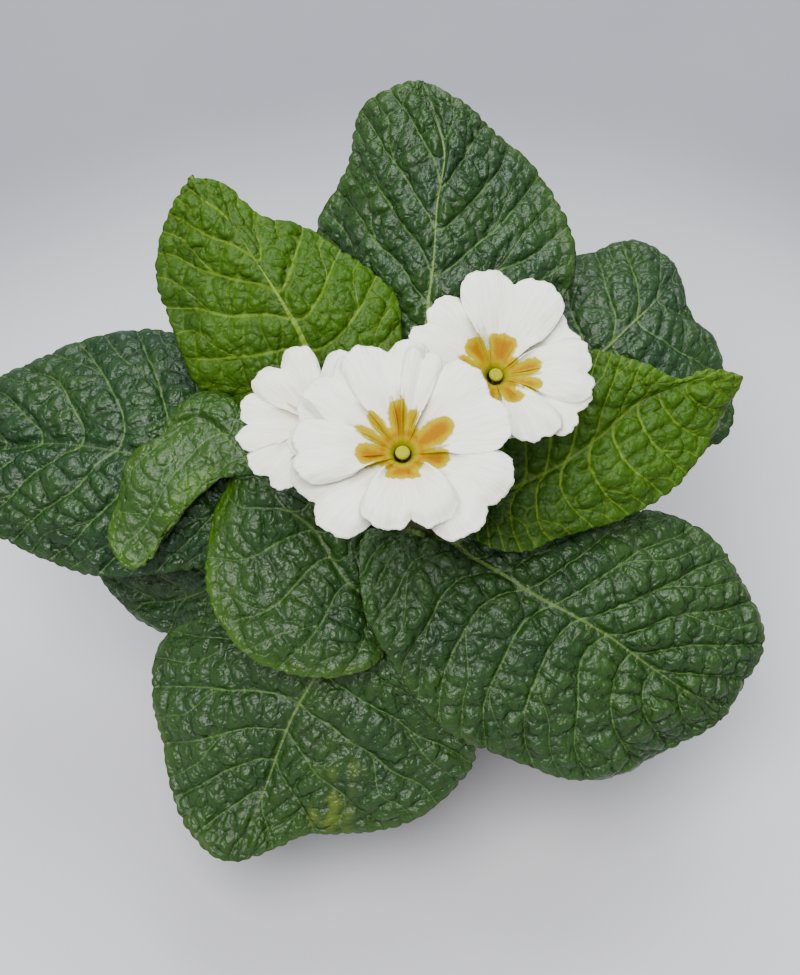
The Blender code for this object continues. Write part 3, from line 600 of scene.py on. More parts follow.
def vein_group():
    """Masks of a leaf's rib, side veins and small net, from the numbers kept on its mesh."""
    tree, given, result = new_group("leaf_veins", ("Rib width", "Vein width"), ("Rib", "Veins", "Net"))
    tip = attribute(tree, "to_tip")
    rib_width = times(tree, given["Rib width"], ramp(tree, tip, 0.0, 80.0, 0.25, 1.0))
    rib_width = times(tree, rib_width, times(tree, attribute(tree, "rib_show"), 0.7, 0.3))
    span = math_node(tree, "ABSOLUTE", attribute(tree, "span"))
    rib = ramp(tree, span, times(tree, rib_width, 0.55), rib_width, 1.0, 0.0)
    feed(tree, result["Rib"], times(tree, rib, ramp(tree, tip, 3.0, 30.0)))
    width = times(tree, given["Vein width"], ramp(tree, attribute(tree, "edge"), 1.0, 22.0, 0.35, 1.0))
    phase = attribute(tree, "laterals")
    off_lateral = math_node(tree, "SUBTRACT", phase, math_node(tree, "ROUND", phase))
    lines = []
    for off, wide in ((off_lateral, width), (attribute(tree, "forks"), times(tree, width, 0.8))):
        distance = times(tree, math_node(tree, "ABSOLUTE", off), attribute(tree, "pitch"))
        lines.append(ramp(tree, distance, times(tree, wide, 0.35), wide, 1.0, 0.0))
    blade = attribute(tree, "blade")
    feed(tree, result["Veins"], times(tree, math_node(tree, "MAXIMUM", *lines), blade))
    feed(tree, result["Net"], times(tree, ramp(tree, attribute(tree, "net"), 0.05, 0.70, 1.0, 0.0), blade))
    return tree


def crinkle_group():
    """Fine crinkles of a leaf: soft lumps on the large cells, and finer grain."""
    tree, given, result = new_group("leaf_crinkle", ("Place", "Cell scale"), ("Crinkle", "Grain"))
    warp = new_node(tree, "ShaderNodeVectorMath", operation="MULTIPLY_ADD")
    swirl = noise(tree, given["Place"], 260.0, 2.0, 0.5, "Color")
    feed_all(tree, warp, {0: swirl, 1: (0.005, 0.005, 0.005), 2: given["Place"]})
    cells = new_node(tree, "ShaderNodeTexVoronoi", feature="SMOOTH_F1")
    feed_all(tree, cells, {"Vector": warp.outputs[0], "Scale": given["Cell scale"], "Smoothness": 0.35})
    lump = times(tree, cells.outputs["Distance"], cells.outputs["Distance"])
    feed(tree, result["Crinkle"], math_node(tree, "SUBTRACT", 1.0, lump))
    feed(tree, result["Grain"], noise(tree, given["Place"], 1500.0, 4.0, 0.62))
    return tree


def mottle_group():
    """Slow and quick colour changes over a surface, their size in millimetres."""
    tree, given, result = new_group("mottle", ("Place", "Size"), ("Slow", "Quick"))
    for label, factor in (("Slow", 1000.0), ("Quick", 6000.0)):
        scale = math_node(tree, "DIVIDE", factor, given["Size"])
        feed(tree, result[label], ramp(tree, noise(tree, given["Place"], scale, 3.0, 0.5), 0.32, 0.68))
    return tree


VEINS = vein_group()
CRINKLE = crinkle_group()
MOTTLE = mottle_group()


# Materials

def leaf_material(name, green, vein_width, gloss, shine, net_share):
    """Upper side of a leaf: quilted green cells, paler veins, glossy domes, lighter margins, painted shade
    in the pits and painted light on the dome tops.
    """
    made, tree, shader, place = new_material(name)
    dull, bright, vein = green
    veins = use_group(tree, VEINS, {"Rib width": 0.92, "Vein width": vein_width})
    crinkle = use_group(tree, CRINKLE, {"Place": place, "Cell scale": CRINKLE_SCALE})
    mottle = use_group(tree, MOTTLE, {"Place": place, "Size": 24.0})
    tone, height = attribute(tree, "tone"), attribute(tree, "height")
    share = math_node(tree, "ADD", tone, ramp(tree, attribute(tree, "edge"), 0.2, 3.2, 0.16, 0.0))
    share = math_node(tree, "ADD", share, times(tree, mottle["Slow"], 0.14, -0.07))
    # Painted light and shade: the dome tops are painted lighter and the grooves darker
    share = math_node(tree, "ADD", share, times(tree, height, 0.20, -0.10), clamp=True)
    rib_share = times(tree, veins["Rib"], attribute(tree, "rib_show"), clamp=True)
    colour = layered(
        tree, blend_colour(tree, share, dull, bright),
        (times(tree, mottle["Quick"], 0.30), blend_colour(tree, share, SHADED, bright)),
        # Painted shade in the pits between the domes
        (ramp(tree, height, 0.0, 0.75, 0.62, 0.0), blend_colour(tree, tone, DULL_PIT_PAINTED_SHADE, BRIGHT_PIT_PAINTED_SHADE)),
        (times(tree, veins["Net"], net_share), vein),
        (times(tree, veins["Veins"], 0.80), vein),
        (rib_share, blend_colour(tree, 0.4, vein, RIB_COLOUR)),
        (ramp(tree, attribute(tree, "blade"), 0.0, 0.9, 1.0, 0.0), STALK_COLOUR),
        (ramp(tree, attribute(tree, "yellowing"), 0.15, 0.9, 0.0, 0.32), (0.17, 0.24, 0.01)),
    )
    rough = times(tree, mottle["Quick"], 0.12, gloss)
    rough = times(tree, veins["Rib"], 0.15, times(tree, veins["Net"], 0.16, rough))
    normal = bump(tree, crinkle["Crinkle"], 0.80, 0.95, bump(tree, crinkle["Grain"], 0.55, 0.24))
    feed_all(tree, shader, {
        "Base Color": colour, "Roughness": rough, "Normal": normal, "Specular IOR Level": shine,
        "Subsurface Weight": 0.05, "Subsurface Radius": (0.4, 1.0, 0.2), "Subsurface Scale": 0.0006,
    })
    return made


def underside_material():
    """Underside of every leaf: paler and duller, its veins standing out."""
    made, tree, shader, place = new_material("leaf_underside")
    dull, bright, vein = PALE_GREEN
    veins = use_group(tree, VEINS, {"Rib width": 1.5, "Vein width": 0.85})
    crinkle = use_group(tree, CRINKLE, {"Place": place, "Cell scale": CRINKLE_SCALE})
    mottle = use_group(tree, MOTTLE, {"Place": place, "Size": 20.0})
    share = math_node(tree, "ADD", attribute(tree, "tone"), times(tree, mottle["Slow"], 0.2))
    lines = math_node(tree, "MAXIMUM", veins["Veins"], veins["Rib"])
    colour = layered(
        tree, blend_colour(tree, share, dull, bright),
        (times(tree, veins["Net"], 0.45), vein),
        (times(tree, lines, 0.85), vein),
        (ramp(tree, attribute(tree, "blade"), 0.0, 0.9, 1.0, 0.0), (0.33, 0.40, 0.16)),
    )
    feed_all(tree, shader, {
        "Base Color": colour, "Roughness": times(tree, mottle["Quick"], 0.12, 0.56),
        "Normal": bump(tree, lines, 0.9, 0.5, bump(tree, crinkle["Grain"], 0.5, 0.12)),
        "Subsurface Weight": 0.05, "Subsurface Scale": 0.001,
        "Sheen Weight": 0.25, "Sheen Roughness": 0.45,
    })
    return made


def petal_material():
    """White petals with faint ribs, a cream shade towards the middle, painted shade beside the margins of
    the petals above and an orange-yellow eye.
    """
    made, tree, shader, place = new_material("petal_white")
    along = attribute(tree, "along")
    ragged = times(tree, noise(tree, place, 900.0, 2.0), 1.3, -0.65)
    room = math_node(tree, "ADD", attribute(tree, "eye"), ragged)
    # Fine lines that run along the petal
    ribs = new_node(tree, "ShaderNodeCombineXYZ")
    feed_all(tree, ribs, {0: times(tree, attribute(tree, "fan"), 46.0), 1: times(tree, along, 0.12)})
    streaks = noise(tree, ribs.outputs[0], 1.0, 2.0)
    colour = layered(
        tree, (0.860, 0.846, 0.745),
        (ramp(tree, along, 6.0, 17.0, 0.55, 0.0), (0.84, 0.81, 0.58)),
        (ramp(tree, streaks, 0.42, 0.75, 0.0, 0.55), (0.64, 0.63, 0.51)),
        # Painted shade beside the margins of the petals above
        (ramp(tree, attribute(tree, "shade"), 0.1, 1.0, 0.0, 0.62), (0.36, 0.36, 0.28)),
        (ramp(tree, room, -0.45, 0.4), (0.370, 0.285, 0.0)),
        (times(tree, ramp(tree, room, 0.5, 2.6), ramp(tree, along, 3.2, 5.2)), (0.290, 0.122, 0.0)),
        (ramp(tree, along, 2.8, 4.2, 1.0, 0.0), (0.24, 0.215, 0.001)),
        (ramp(tree, along, 1.9, 3.0, 1.0, 0.0), (0.15, 0.16, 0.008)),
        (ramp(tree, attribute(tree, "crease"), 0.3, 1.0, 0.0, 0.75), (0.42, 0.26, 0.09)),
    )
    grain = noise(tree, place, 2200.0, 3.0)
    feed_all(tree, shader, {
        "Base Color": colour, "Roughness": ramp(tree, grain, 0.2, 0.8, 0.48, 0.62),
        "Normal": bump(tree, streaks, 0.7, 0.26, bump(tree, grain, 0.25, 0.05)),
        "Specular IOR Level": 0.05,
    })
    return made


def plant_material(name, first, second, rough, grain_depth, sheen, size, shine):
    """Stalks, calyces, crown and other green parts: mottled between two colours, finely grained."""
    made, tree, shader, place = new_material(name)
    mottle = use_group(tree, MOTTLE, {"Place": place, "Size": size})
    dark = tuple(0.72 * channel for channel in first)
    colour = blend_colour(tree, mottle["Slow"], first, second)
    feed_all(tree, shader, {
        "Base Color": blend_colour(tree, times(tree, mottle["Quick"], 0.35), colour, dark),
        "Roughness": times(tree, mottle["Quick"], 0.15, rough),
        "Normal": bump(tree, noise(tree, place, 1500.0, 4.0, 0.6), 0.6, grain_depth),
        "Subsurface Weight": 0.1, "Subsurface Scale": 0.001,
        "Sheen Weight": sheen, "Specular IOR Level": shine,
    })
    return made


def soil_material():
    """Dark moist peat with paler fibres and specks."""
    made, tree, shader, place = new_material("moist_soil")
    mottle = use_group(tree, MOTTLE, {"Place": place, "Size": 5.0})
    colour = layered(
        tree, (0.016, 0.010, 0.006),
        (mottle["Slow"], (0.050, 0.032, 0.018)),
        (ramp(tree, noise(tree, place, 1300.0, 2.0), 0.66, 0.74, 0.0, 0.8), (0.14, 0.095, 0.05)),
        (ramp(tree, mottle["Quick"], 0.5, 1.0, 0.0, 0.5), (0.010, 0.007, 0.005)),
    )
    feed_all(tree, shader, {
        "Base Color": colour, "Roughness": ramp(tree, mottle["Quick"], 0.0, 1.0, 0.72, 0.95),
        "Normal": bump(tree, noise(tree, place, 900.0, 6.0, 0.7), 0.9, 0.7),
    })
    return made


def pot_material():
    """Moulded terracotta-brown plastic with faint flow marks, handling scuffs and dust."""
    made, tree, shader, place = new_material("pot_plastic")
    mottle = use_group(tree, MOTTLE, {"Place": place, "Size": 30.0})
    stretch = new_node(tree, "ShaderNodeMapping")
    feed_all(tree, stretch, {"Vector": place, "Scale": (1.0, 1.0, 0.08)})
    streaks = noise(tree, stretch.outputs[0], 420.0, 4.0, 0.6)
    height = new_node(tree, "ShaderNodeSeparateXYZ")
    feed(tree, height.inputs[0], place)
    dusty = ramp(tree, noise(tree, place, 240.0, 5.0, 0.65), 0.4, 0.75)
    colour = layered(
        tree, (0.185, 0.062, 0.032),
        (mottle["Slow"], (0.225, 0.080, 0.042)),
        (ramp(tree, streaks, 0.55, 0.8, 0.0, 0.35), (0.30, 0.135, 0.085)),
        (times(tree, dusty, ramp(tree, height.outputs["Z"], 0.0, 0.016, 0.5, 0.0)), (0.33, 0.25, 0.19)),
    )
    normal = bump(tree, noise(tree, place, 1800.0, 3.0), 0.3, 0.08)
    feed_all(tree, shader, {
        "Base Color": colour,
        "Roughness": times(tree, mottle["Quick"], 0.06, ramp(tree, streaks, 0.3, 0.8, 0.40, 0.56)),
        "Normal": bump(tree, streaks, 0.25, 0.12, normal),
    })
    return made


UNDERSIDE = underside_material()
LOOKS = {
    "dark": [leaf_material("leaf_dark_green", GREEN, 0.46, 0.27, 0.34, 0.10), UNDERSIDE],
    "bright": [leaf_material("leaf_bright_green", CLEAR_GREEN, 0.66, 0.33, 0.16, 0.36), UNDERSIDE],
    "young": [leaf_material("leaf_young_green", YOUNG_GREEN, 0.5, 0.38, 0.2, 0.25), UNDERSIDE],
    "petal": [petal_material()],
    "soil": [soil_material()],
    "pot": [pot_material()],
}
# The other parts: two colours, roughness, depth of the grain, sheen, size of the mottling and shine
for part, name, *finish_values in (
    ("bud", "bud_cream", (0.66, 0.68, 0.46), (0.82, 0.81, 0.66), 0.5, 0.05, 0.15, 8.0, 0.35),
    ("calyx", "calyx_green", (0.17, 0.30, 0.07), (0.30, 0.42, 0.14), 0.5, 0.10, 0.3, 8.0, 0.35),
    ("stalk", "stalk_green", (0.24, 0.33, 0.10), (0.38, 0.46, 0.20), 0.45, 0.08, 0.3, 8.0, 0.35),
    ("pistil", "pistil_green", (0.28, 0.28, 0.001), (0.36, 0.335, 0.001), 0.5, 0.05, 0.0, 3.0, 0.1),
    ("crown", "crown_green", (0.10, 0.125, 0.035), (0.19, 0.21, 0.07), 0.6, 0.2, 0.1, 5.0, 0.35),
):
    LOOKS[part] = [plant_material(name, *finish_values)]


# Leaves

def leaf_lines(leaf):
    """The leaf's rib, left margin and right margin, from its root to its tip."""
    radius, height = ROOTS[leaf.root]
    angle = math.radians(leaf.azimuth)
    out = np.array([math.cos(angle), math.sin(angle), 0.0])
    root = out * (radius + ROOT_GAP) + UP * height
    heel = root + out * STALK_RUN + UP * STALK_RISE
    side = np.cross(UP, out) * STALK_HALF_WIDTH
    lines = []
    for index, way in enumerate((0, 1, -1)):
        line = [root + side * way, heel + side * way]
        line += [section[3 * index:3 * index + 3] or section[:3] for section in leaf.sections]
        lines.append(np.array(line, float))
    return lines


class LeafShape:
    """A leaf's smooth sheet: where a place t along its rib and a share across it lies."""

    def __init__(self, leaf):
        self.leaf = leaf
        self.lines = leaf_lines(leaf)
        rib, left, right = self.lines
        self.last = len(rib) - 1
        self.spans = lengths(np.diff(rib, axis=0))
        self.widest = max(lengths(left - right))
        self.fine = np.linspace(0.0, self.last, 1500)
        tracks = [self.along(line, self.fine) for line in self.lines]
        steps = [lengths(np.diff(track, axis=0)) for track in tracks]
        self.run = running((steps[0] + steps[1] + steps[2]) / 3)
        spread = lengths(tracks[1] - tracks[2])
        widening = np.arange(len(spread)) < np.argmax(spread)
        self.blade = np.where(widening, np.clip((spread - STALK_SPREAD) / BLADE_RISE, 0.0, 1.0), 1.0)
        self.half_widths = [lengths(track - tracks[0]) for track in tracks[1:]]
        veins = running(steps[0] * 0.45 + (steps[1] + steps[2]) * 0.275)
        full = np.argmax(self.blade)
        self.phase = (veins - np.interp(0.35, self.blade[:full], veins[:full])) / leaf.pitch

    def along(self, line, t):
        """Points of a smooth line at places t."""
        return hermite(line, self.spans, t)

    def place(self, t, share):
        """Points of the sheet at places t along it and shares -1 to 1 across it."""
        rib, left, right = (self.along(line, t) for line in self.lines)
        ahead = self.along(self.lines[0], np.minimum(t + 0.5, self.last))
        behind = self.along(self.lines[0], np.maximum(t - 0.5, 0.0))
        normal = unit(np.cross(ahead - behind, left - right))
        lift = self.leaf.bow * np.minimum(1.0, lengths(left - right) / self.widest)
        size = np.abs(share)[:, None]
        margin = np.where((share < 0)[:, None], left, right)
        return rib + (margin - rib) * size + normal * lift[:, None] * 4.0 * size * (1.0 - size)

    def vein_shift(self, share):
        """How far the side veins lean from the sections' lines, in side veins."""
        sweep = np.where(share < 0, *self.leaf.sweep)
        return LATERAL_STAGGER * np.tanh(share / 0.12) - sweep * np.abs(share) ** 1.5

    def vein_phase(self, t, share):
        """Number of side veins from the blade's start: whole numbers lie on a side vein."""
        return np.interp(t, self.fine, self.phase) + self.vein_shift(share)

    def t_at(self, phase, share):
        """Place along the leaf that has this number of side veins at a share across it."""
        return np.interp(phase - self.vein_shift(share), self.phase, self.fine)


def fork_start(leaf_seed, side, number):
    """Share of the half width at which a side vein forks."""
    chance = np.random.default_rng((leaf_seed, 3 + int(side), number + 40))
    return chance.uniform(0.40, 0.66)


def fork_distance(phase, share, seed):
    """How far each place lies from the branch of a side vein, in side veins."""
    number = np.floor(phase)
    starts = np.zeros(len(phase))
    for side in (-1, 1):
        for value in np.unique(number):
            chosen = (number == value) & ((share < 0) == (side < 0))
            starts[chosen] = fork_start(seed, side, int(value))
    return phase - number - 0.5 * smoothstep(0.0, 0.30, np.abs(share) - starts)


def cell_seeds(shape, seed):
    """Middles of a leaf's large cells, in rungs between side veins: one up to a fork and two beyond."""
    chance = np.random.default_rng(seed)
    low, high = math.floor(shape.phase[0]) - 2, math.ceil(shape.phase[-1]) + 1
    spots_t, spots_share = [], []
    for side in (-1.0, 1.0):
        for number in range(low, high):
            middle_t = shape.t_at(np.array([number + 0.5]), np.array([side * 0.5]))
            half_width = np.interp(middle_t, shape.fine, shape.half_widths[0 if side < 0 else 1])[0]
            rungs = max(2, round(half_width / CELL_LENGTH))
            forked = fork_start(seed, side, number) + 0.06
            for rung in range(rungs):
                share = (rung + 0.5) / rungs
                cells = 2 if share > forked else 1
                for cell in range(cells):
                    phase = number + (cell + 0.5) / cells + chance.uniform(-0.10, 0.10) / cells
                    stagger = 0.3 * (cell % 2) + chance.uniform(-0.22, 0.22)
                    moved = np.clip(side * (share + stagger / rungs), -0.99, 0.99)
                    if shape.phase[0] < phase - shape.vein_shift(moved) < shape.phase[-1]:
                        spots_share.append(moved)
                        spots_t.append(shape.t_at(np.array([phase]), np.array([moved]))[0])
    return shape.place(np.array(spots_t), np.array(spots_share))


def scattered(points, spacing, seed):
    """Some of the points, picked at random about a spacing apart."""
    chance = np.random.default_rng(seed)
    lattice = np.unique(np.round((points + chance.uniform(0, 9, 3)) / spacing).astype(int), axis=0)
    picked = chance.choice(len(points), size=min(len(points), int(len(lattice) * 0.62)), replace=False)
    return points[picked]


def surface_scale(grid, field):
    """Millimetres over which a value on the grid changes by one."""
    along, across = np.gradient(grid, axis=0), np.gradient(grid, axis=1)
    rise_along, rise_across = np.gradient(field, axis=0), np.gradient(field, axis=1)
    e, f, g = (
        np.einsum("ijk,ijk->ij", first, second)
        for first, second in ((along, along), (along, across), (across, across))
    )
    top = g * rise_along ** 2 - 2 * f * rise_along * rise_across + e * rise_across ** 2
    slope = np.sqrt(np.maximum(top, 1e-12) / np.maximum(e * g - f * f, 1e-9))
    return np.clip(1.0 / np.maximum(slope, 1e-3), 2.0, 45.0).ravel()


def scallops(grid, normals, seed):
    """How far each place moves outwards so that the margin is scalloped."""
    outward = np.zeros_like(grid)
    chance = np.random.default_rng(seed)
    last = grid.shape[1] - 1
    for column, sign, half in ((0, -1.0, slice(0, last // 2)), (last, 1.0, slice(last // 2, None))):
        rim = grid[:, column]
        way = sign * np.cross(unit(np.gradient(rim, axis=0)), normals[:, column])
        arc = running(lengths(np.diff(rim, axis=0)))
        beat = arc / TOOTH_LENGTH + 0.35 * np.sin(arc / 9.0 + chance.uniform(0.0, TAU))
        size = 0.8 + 0.35 * np.sin(arc / 5.3 + chance.uniform(0.0, TAU))
        depth = TOOTH_DEPTH * size * (np.abs(np.sin(math.pi * beat)) ** 0.6 - 0.62)
        outward[:, half] = (way * depth[:, None])[:, None]
    return outward.reshape(-1, 3)


def make_leaf(name, leaf, seed):
    """A leaf blade with its stalk: a quilted, veined and scalloped sheet with its thickness."""
    shape = LeafShape(leaf)
    step = LOW_LEAF_STEP if name.startswith("leaf_low") else LEAF_STEP
    rows = round(shape.run[-1] / step)
    columns = 2 * max(8, round(max(half.max() for half in shape.half_widths) / step))
    piece, share, along = new_sheet(name.replace("leaf", "blade"), columns, rows)
    t = np.interp(along * shape.run[-1], shape.run, shape.fine)
    points = shape.place(t, share)
    grid = points.reshape(rows + 1, columns + 1, 3)
    normals = unit(np.cross(np.gradient(grid, axis=1), np.gradient(grid, axis=0)))
    normals[-1] = normals[-2]
    blade = np.interp(t, shape.fine, shape.blade)
    span = share * np.where(share < 0, *(np.interp(t, shape.fine, half) for half in shape.half_widths))
    ends = np.linspace(1.5, shape.last, 900)
    edge = nearest_distance(points, np.concatenate([shape.along(line, ends) for line in shape.lines[1:]]))
    to_tip = lengths(points - shape.lines[0][-1])
    # Side veins, their forks and the cells between them
    phase = shape.vein_phase(t, share) + waves(points, 17.0, seed + 5) * 0.07 * blade
    pitch = surface_scale(grid, phase.reshape(rows + 1, columns + 1))
    forks = fork_distance(phase, share, seed)
    off_lateral = np.abs(phase - np.round(phase)) * pitch
    seeds = cell_seeds(shape, seed)
    border, owner = cell_borders(points, seeds)
    tall = np.random.default_rng(seed + 9).uniform(0.60, 1.35, len(seeds))[owner]
    net = np.minimum(border, np.minimum(off_lateral, np.abs(forks) * pitch))
    dome = np.sqrt(rounded(net, DOME_RADIUS))
    small_border, small_owner = cell_borders(points, scattered(points, BUMP_SPACING, seed + 4))
    sizes = np.random.default_rng(seed + 8).uniform(0.3, 1.2, small_owner.max() + 1)
    small = rounded(small_border, BUMP_RADIUS) * sizes[small_owner]
    # Relief: quilting, with less of it at the margin and a groove along the rib
    fine = 0.66 if leaf.kind == "bright" else 0.48
    ridge = rounded(off_lateral, RIDGE_RADIUS)
    relief = leaf.relief * (DOME_HEIGHT * dome * tall + fine * small + 0.85 * ridge - 1.45)
    relief += 0.35 * waves(points, 15.0, seed + 2)
    if name == "leaf_front_left":
        relief *= 1.0 - 0.5 * smoothstep(-46.0, -54.0, points[:, 0])
    relief *= (0.30 + 0.70 * smoothstep(0.0, 2.6, edge)) * blade
    rib_room = smoothstep(0.6, 3.4, np.abs(span))
    relief = relief * rib_room - (1.0 - rib_room) * 0.85 * leaf.relief * blade
    swell = 1.2 * waves(points, 26.0, seed + 3) * blade * smoothstep(14.0, 2.0, edge)
    near_margin = np.exp(-edge / 1.2) * blade * smoothstep(0.0, 4.0, to_tip)
    shaped = points + normals.reshape(-1, 3) * (relief + swell)[:, None]
    move_points(piece, shaped + scallops(grid, normals, seed + 7) * near_margin[:, None])
    # The quilting's height also drives the painted shade in the pits and the painted light on the dome tops
    write_values(
        piece, span=span, to_tip=to_tip, laterals=phase, forks=forks, pitch=pitch, net=net, edge=edge,
        blade=blade, height=np.clip(0.75 * dome * tall + 0.35 * small, 0.0, 1.0), rib_show=leaf.rib,
        tone=leaf_tone(name, leaf, points, edge), yellowing=leaf_yellowing(name, points, seed + 21),
    )
    # Thickness: full along the stalk, some of it along the rib
    spread = np.interp(t, shape.fine, shape.half_widths[0] + shape.half_widths[1])
    stalk = np.clip((14.0 - spread) / 8.0, 0.0, 1.0) * (t < shape.last * 0.6) * (1.0 - 0.45 * share ** 2)
    rib_share = np.exp(-((span / 1.4) ** 2)) * (1.0 - along) * 0.75
    body = piece.vertex_groups.new(name="body")
    for index, weight in enumerate(BLADE_SHARE + (1.0 - BLADE_SHARE) * np.maximum(stalk, rib_share)):
        body.add([index], float(weight), "REPLACE")
    merge_doubles(piece)
    change(
        piece, "SOLIDIFY", thickness=STALK_THICKNESS * MM, offset=0.0, vertex_group=body.name,
        material_offset=1,
    )
    piece.vertex_groups.clear()
    return finish(piece, [name], LOOKS[leaf.kind])


def leaf_tone(name, leaf, points, edge):
    """How brightly green each place of a leaf is, with painted light and painted shade on two of the leaves.
    """
    tone = leaf.tone + 0.06 * waves(points, 30.0, 77)
    if name == "leaf_front_left":
        tone = tone + 0.40 * np.exp(-edge / 3.0) + 0.26 * smoothstep(-44.0, -54.0, points[:, 0])
        # Painted light shining through the curled margin of the hook: a bright band near its edge
        tone = tone + 0.9 * (blob(points, (-58, -5, 106), (9, 8, 8)) * smoothstep(5.0, 1.5, edge))
    if name == "leaf_right":
        tone = tone + 0.22 * smoothstep(30.0, 75.0, points[:, 0])
        # Painted shade under the back flower: darker towards the crown
        tone = tone - 0.30 * smoothstep(32.0, 12.0, points[:, 0])
    if name == "leaf_back_left":
        tone = tone - 0.16 * smoothstep(30.0, 4.0, edge)
        tone = tone - 0.22 * blob(points, (-32, 28, 120), (14, 16, 30))
    if name == "leaf_back":
        tone = tone + 0.14 * smoothstep(8.0, 0.0, edge)
    return np.clip(tone, 0.0, 1.0)


def leaf_yellowing(name, points, seed):
    """Where a leaf is turning yellow."""
    if name != "leaf_front":
        return 0.0
    patch = blob(points, (-26, -78, 50), (7, 6, 12))
    patch += 0.5 * blob(points, (-23, -66, 60), (9, 12, 12))
    patch += 0.5 * blob(points, (-63, -84, 43), (9, 4, 9))
    return np.clip(patch * (0.55 + 0.5 * waves(points, 5.0, seed)), 0.0, 1.0)


# Flowers

def eye_depth(radius, angle, flower):
    """How far inside the coloured eye a place is: a core with a blunt patch for each entry."""
    depth = flower.core - radius
    for direction, reach, half in flower.eye:
        off = angle - math.radians(direction)
        out, side = radius * np.cos(off), np.abs(radius * np.sin(off))
        end = (np.clip(out - BLUNT_FROM, 0.0, None) / (reach - BLUNT_FROM)) ** 2.6
        blunt = np.sqrt(np.clip(1.0 - end, 0.0, 1.0))
        width = half * np.clip(0.40 + out / 14.0, 0.0, 1.0) * np.where(out < BLUNT_FROM, 1.0, blunt)
        inside = np.minimum(width - side, reach - out)
        depth = np.maximum(depth, np.where(out > 1.0, inside, -9.0))
    return depth


def petal_reach(across, reach, notch):
    """How far a petal reaches at a place across it, -1 to 1: round, with a notch in the middle."""
    size = np.abs(across)
    return reach * (1.0 - notch * np.exp(-((size / 0.14) ** 1.3)) - 0.05 * size ** 2 - 0.42 * size ** 7)


def painted_overlap_shade(radius, angle, order, petals):
    """Painted shade cast by the petals above: how close each place of a petal lies outside the margin of a
    petal above it, 1 at that margin.
    """
    shade = np.zeros(len(radius))
    for direction, reach, half_angle, notch, above, _, _ in petals:
        if above <= order:
            continue
        off = (angle - math.radians(direction) + math.pi) % TAU - math.pi
        across = np.clip(off / math.radians(half_angle), -1.0, 1.0)
        beside = radius * (np.abs(off) - math.radians(half_angle))
        beyond = radius - petal_reach(across, reach, notch)
        shade = np.maximum(shade, np.exp(-np.maximum(0.0, np.maximum(beside, beyond)) / 1.5))
    return shade


def round_points(radius, angle, height):
    """Points at a radius, angle and height round +Z."""
    return np.stack(np.broadcast_arrays(radius * np.cos(angle), radius * np.sin(angle), height), axis=1)


def make_petal(name, spec, flower, flower_seed, seed):
    """One petal, drawn round +Z: a notched, faintly frilled sheet that rises from the throat."""
    direction, reach, half_angle, notch, order, lift, lean = spec
    chance = np.random.default_rng(seed)
    piece, across, along = new_sheet(name, max(26, round(half_angle * 1.6)), PETAL_ROWS)
    size = np.abs(across)
    edge = petal_reach(across, reach, notch) * (1.0 + lean * across)
    arc = across * math.radians(half_angle) * reach
    for length, depth in ((6.5, 0.26), (3.1, 0.15), (1.5, 0.08)):
        beat = TAU / length * chance.uniform(0.85, 1.15)
        edge = edge + depth * np.sin(arc * beat + chance.uniform(0, TAU)) * (1.0 - size ** 8)
    radius = THROAT_START + (edge - THROAT_START) * along
    fan = math.radians(half_angle) * across * (0.92 + 0.08 * smoothstep(0.0, 0.4, along))
    angle = math.radians(direction) + fan
    open_share = smoothstep(0.12, 0.75, along)
    height = -2.6 * np.exp(-(radius - THROAT_START) / 1.25)
    height += order * (0.05 + 0.43 * smoothstep(0.15, 0.62, along))
    height += lift * along ** 1.6
    height += 2.2 * np.sin(np.clip(along, 0, 1) * math.pi * 0.6)
    lobes = 0.75 * np.sin(math.pi * size) ** 2 - 0.9 * size ** 4
    height += (lobes - 0.45 * np.exp(-((size / 0.20) ** 2))) * open_share
    flat = round_points(radius, angle, 0.0)
    height += 0.50 * waves(flat, 15.0, flower_seed) * open_share
    height += 0.14 * waves(flat, 9.0, seed + 1) * open_share
    height += 0.16 * np.sin(TAU * arc / 5.0 + chance.uniform(0, TAU)) * smoothstep(0.75, 1.0, along)
    height -= chance.uniform(0.5, 1.5) * smoothstep(0.76, 1.0, along) ** 2
    crease = np.exp(-((across / 0.035) ** 2)) * smoothstep(0.80, 0.97, along) * (order == CREASED_PETAL)
    # shade is the painted shade cast by the petals above
    write_values(
        piece, along=radius, fan=fan, eye=eye_depth(radius, angle, flower),
        shade=painted_overlap_shade(radius, angle, order, flower.petals), crease=crease,
    )
    return piece, round_points(radius, angle, height)


def make_tube(name):
    """The tube below the petals, opening to the throat."""
    profile = [
        (TUBE_RADIUS, -TUBE_LENGTH), (TUBE_RADIUS, -TUBE_LENGTH * 0.55), (TUBE_RADIUS * 1.1, -6.0),
        (2.3, -2.8), (2.75, -1.6), (THROAT_RADIUS + 0.6, -0.4),
    ]
    piece = turned(name, profile, 40, closed=False)
    points, radius, angle = read_round(piece)
    along = np.where(points[:, 2] < -3.0, 2.4, radius)
    write_values(piece, along=along, eye=6.0 - radius, crease=0.0, shade=0.0, fan=angle)
    return piece, points


def make_corolla(name, flower, seed):
    """The petals and tube of one flower."""
    sheets = [
        make_petal(f"{name}_{index}", spec, flower, seed, seed + 11 * index)
        for index, spec in enumerate(flower.petals)
    ]
    sheets.append(make_tube(f"{name}_tube"))
    for piece, points in sheets:
        move_points(piece, stand_on(points, flower.face, flower.facing))
    piece = join([sheet[0] for sheet in sheets], f"petals_{name}")
    change(piece, "SOLIDIFY", thickness=PETAL_THICKNESS * MM, offset=0.0)
    bpy.ops.object.shade_smooth()
    return finish(piece, [f"flower_{name}_corolla"], LOOKS["petal"])


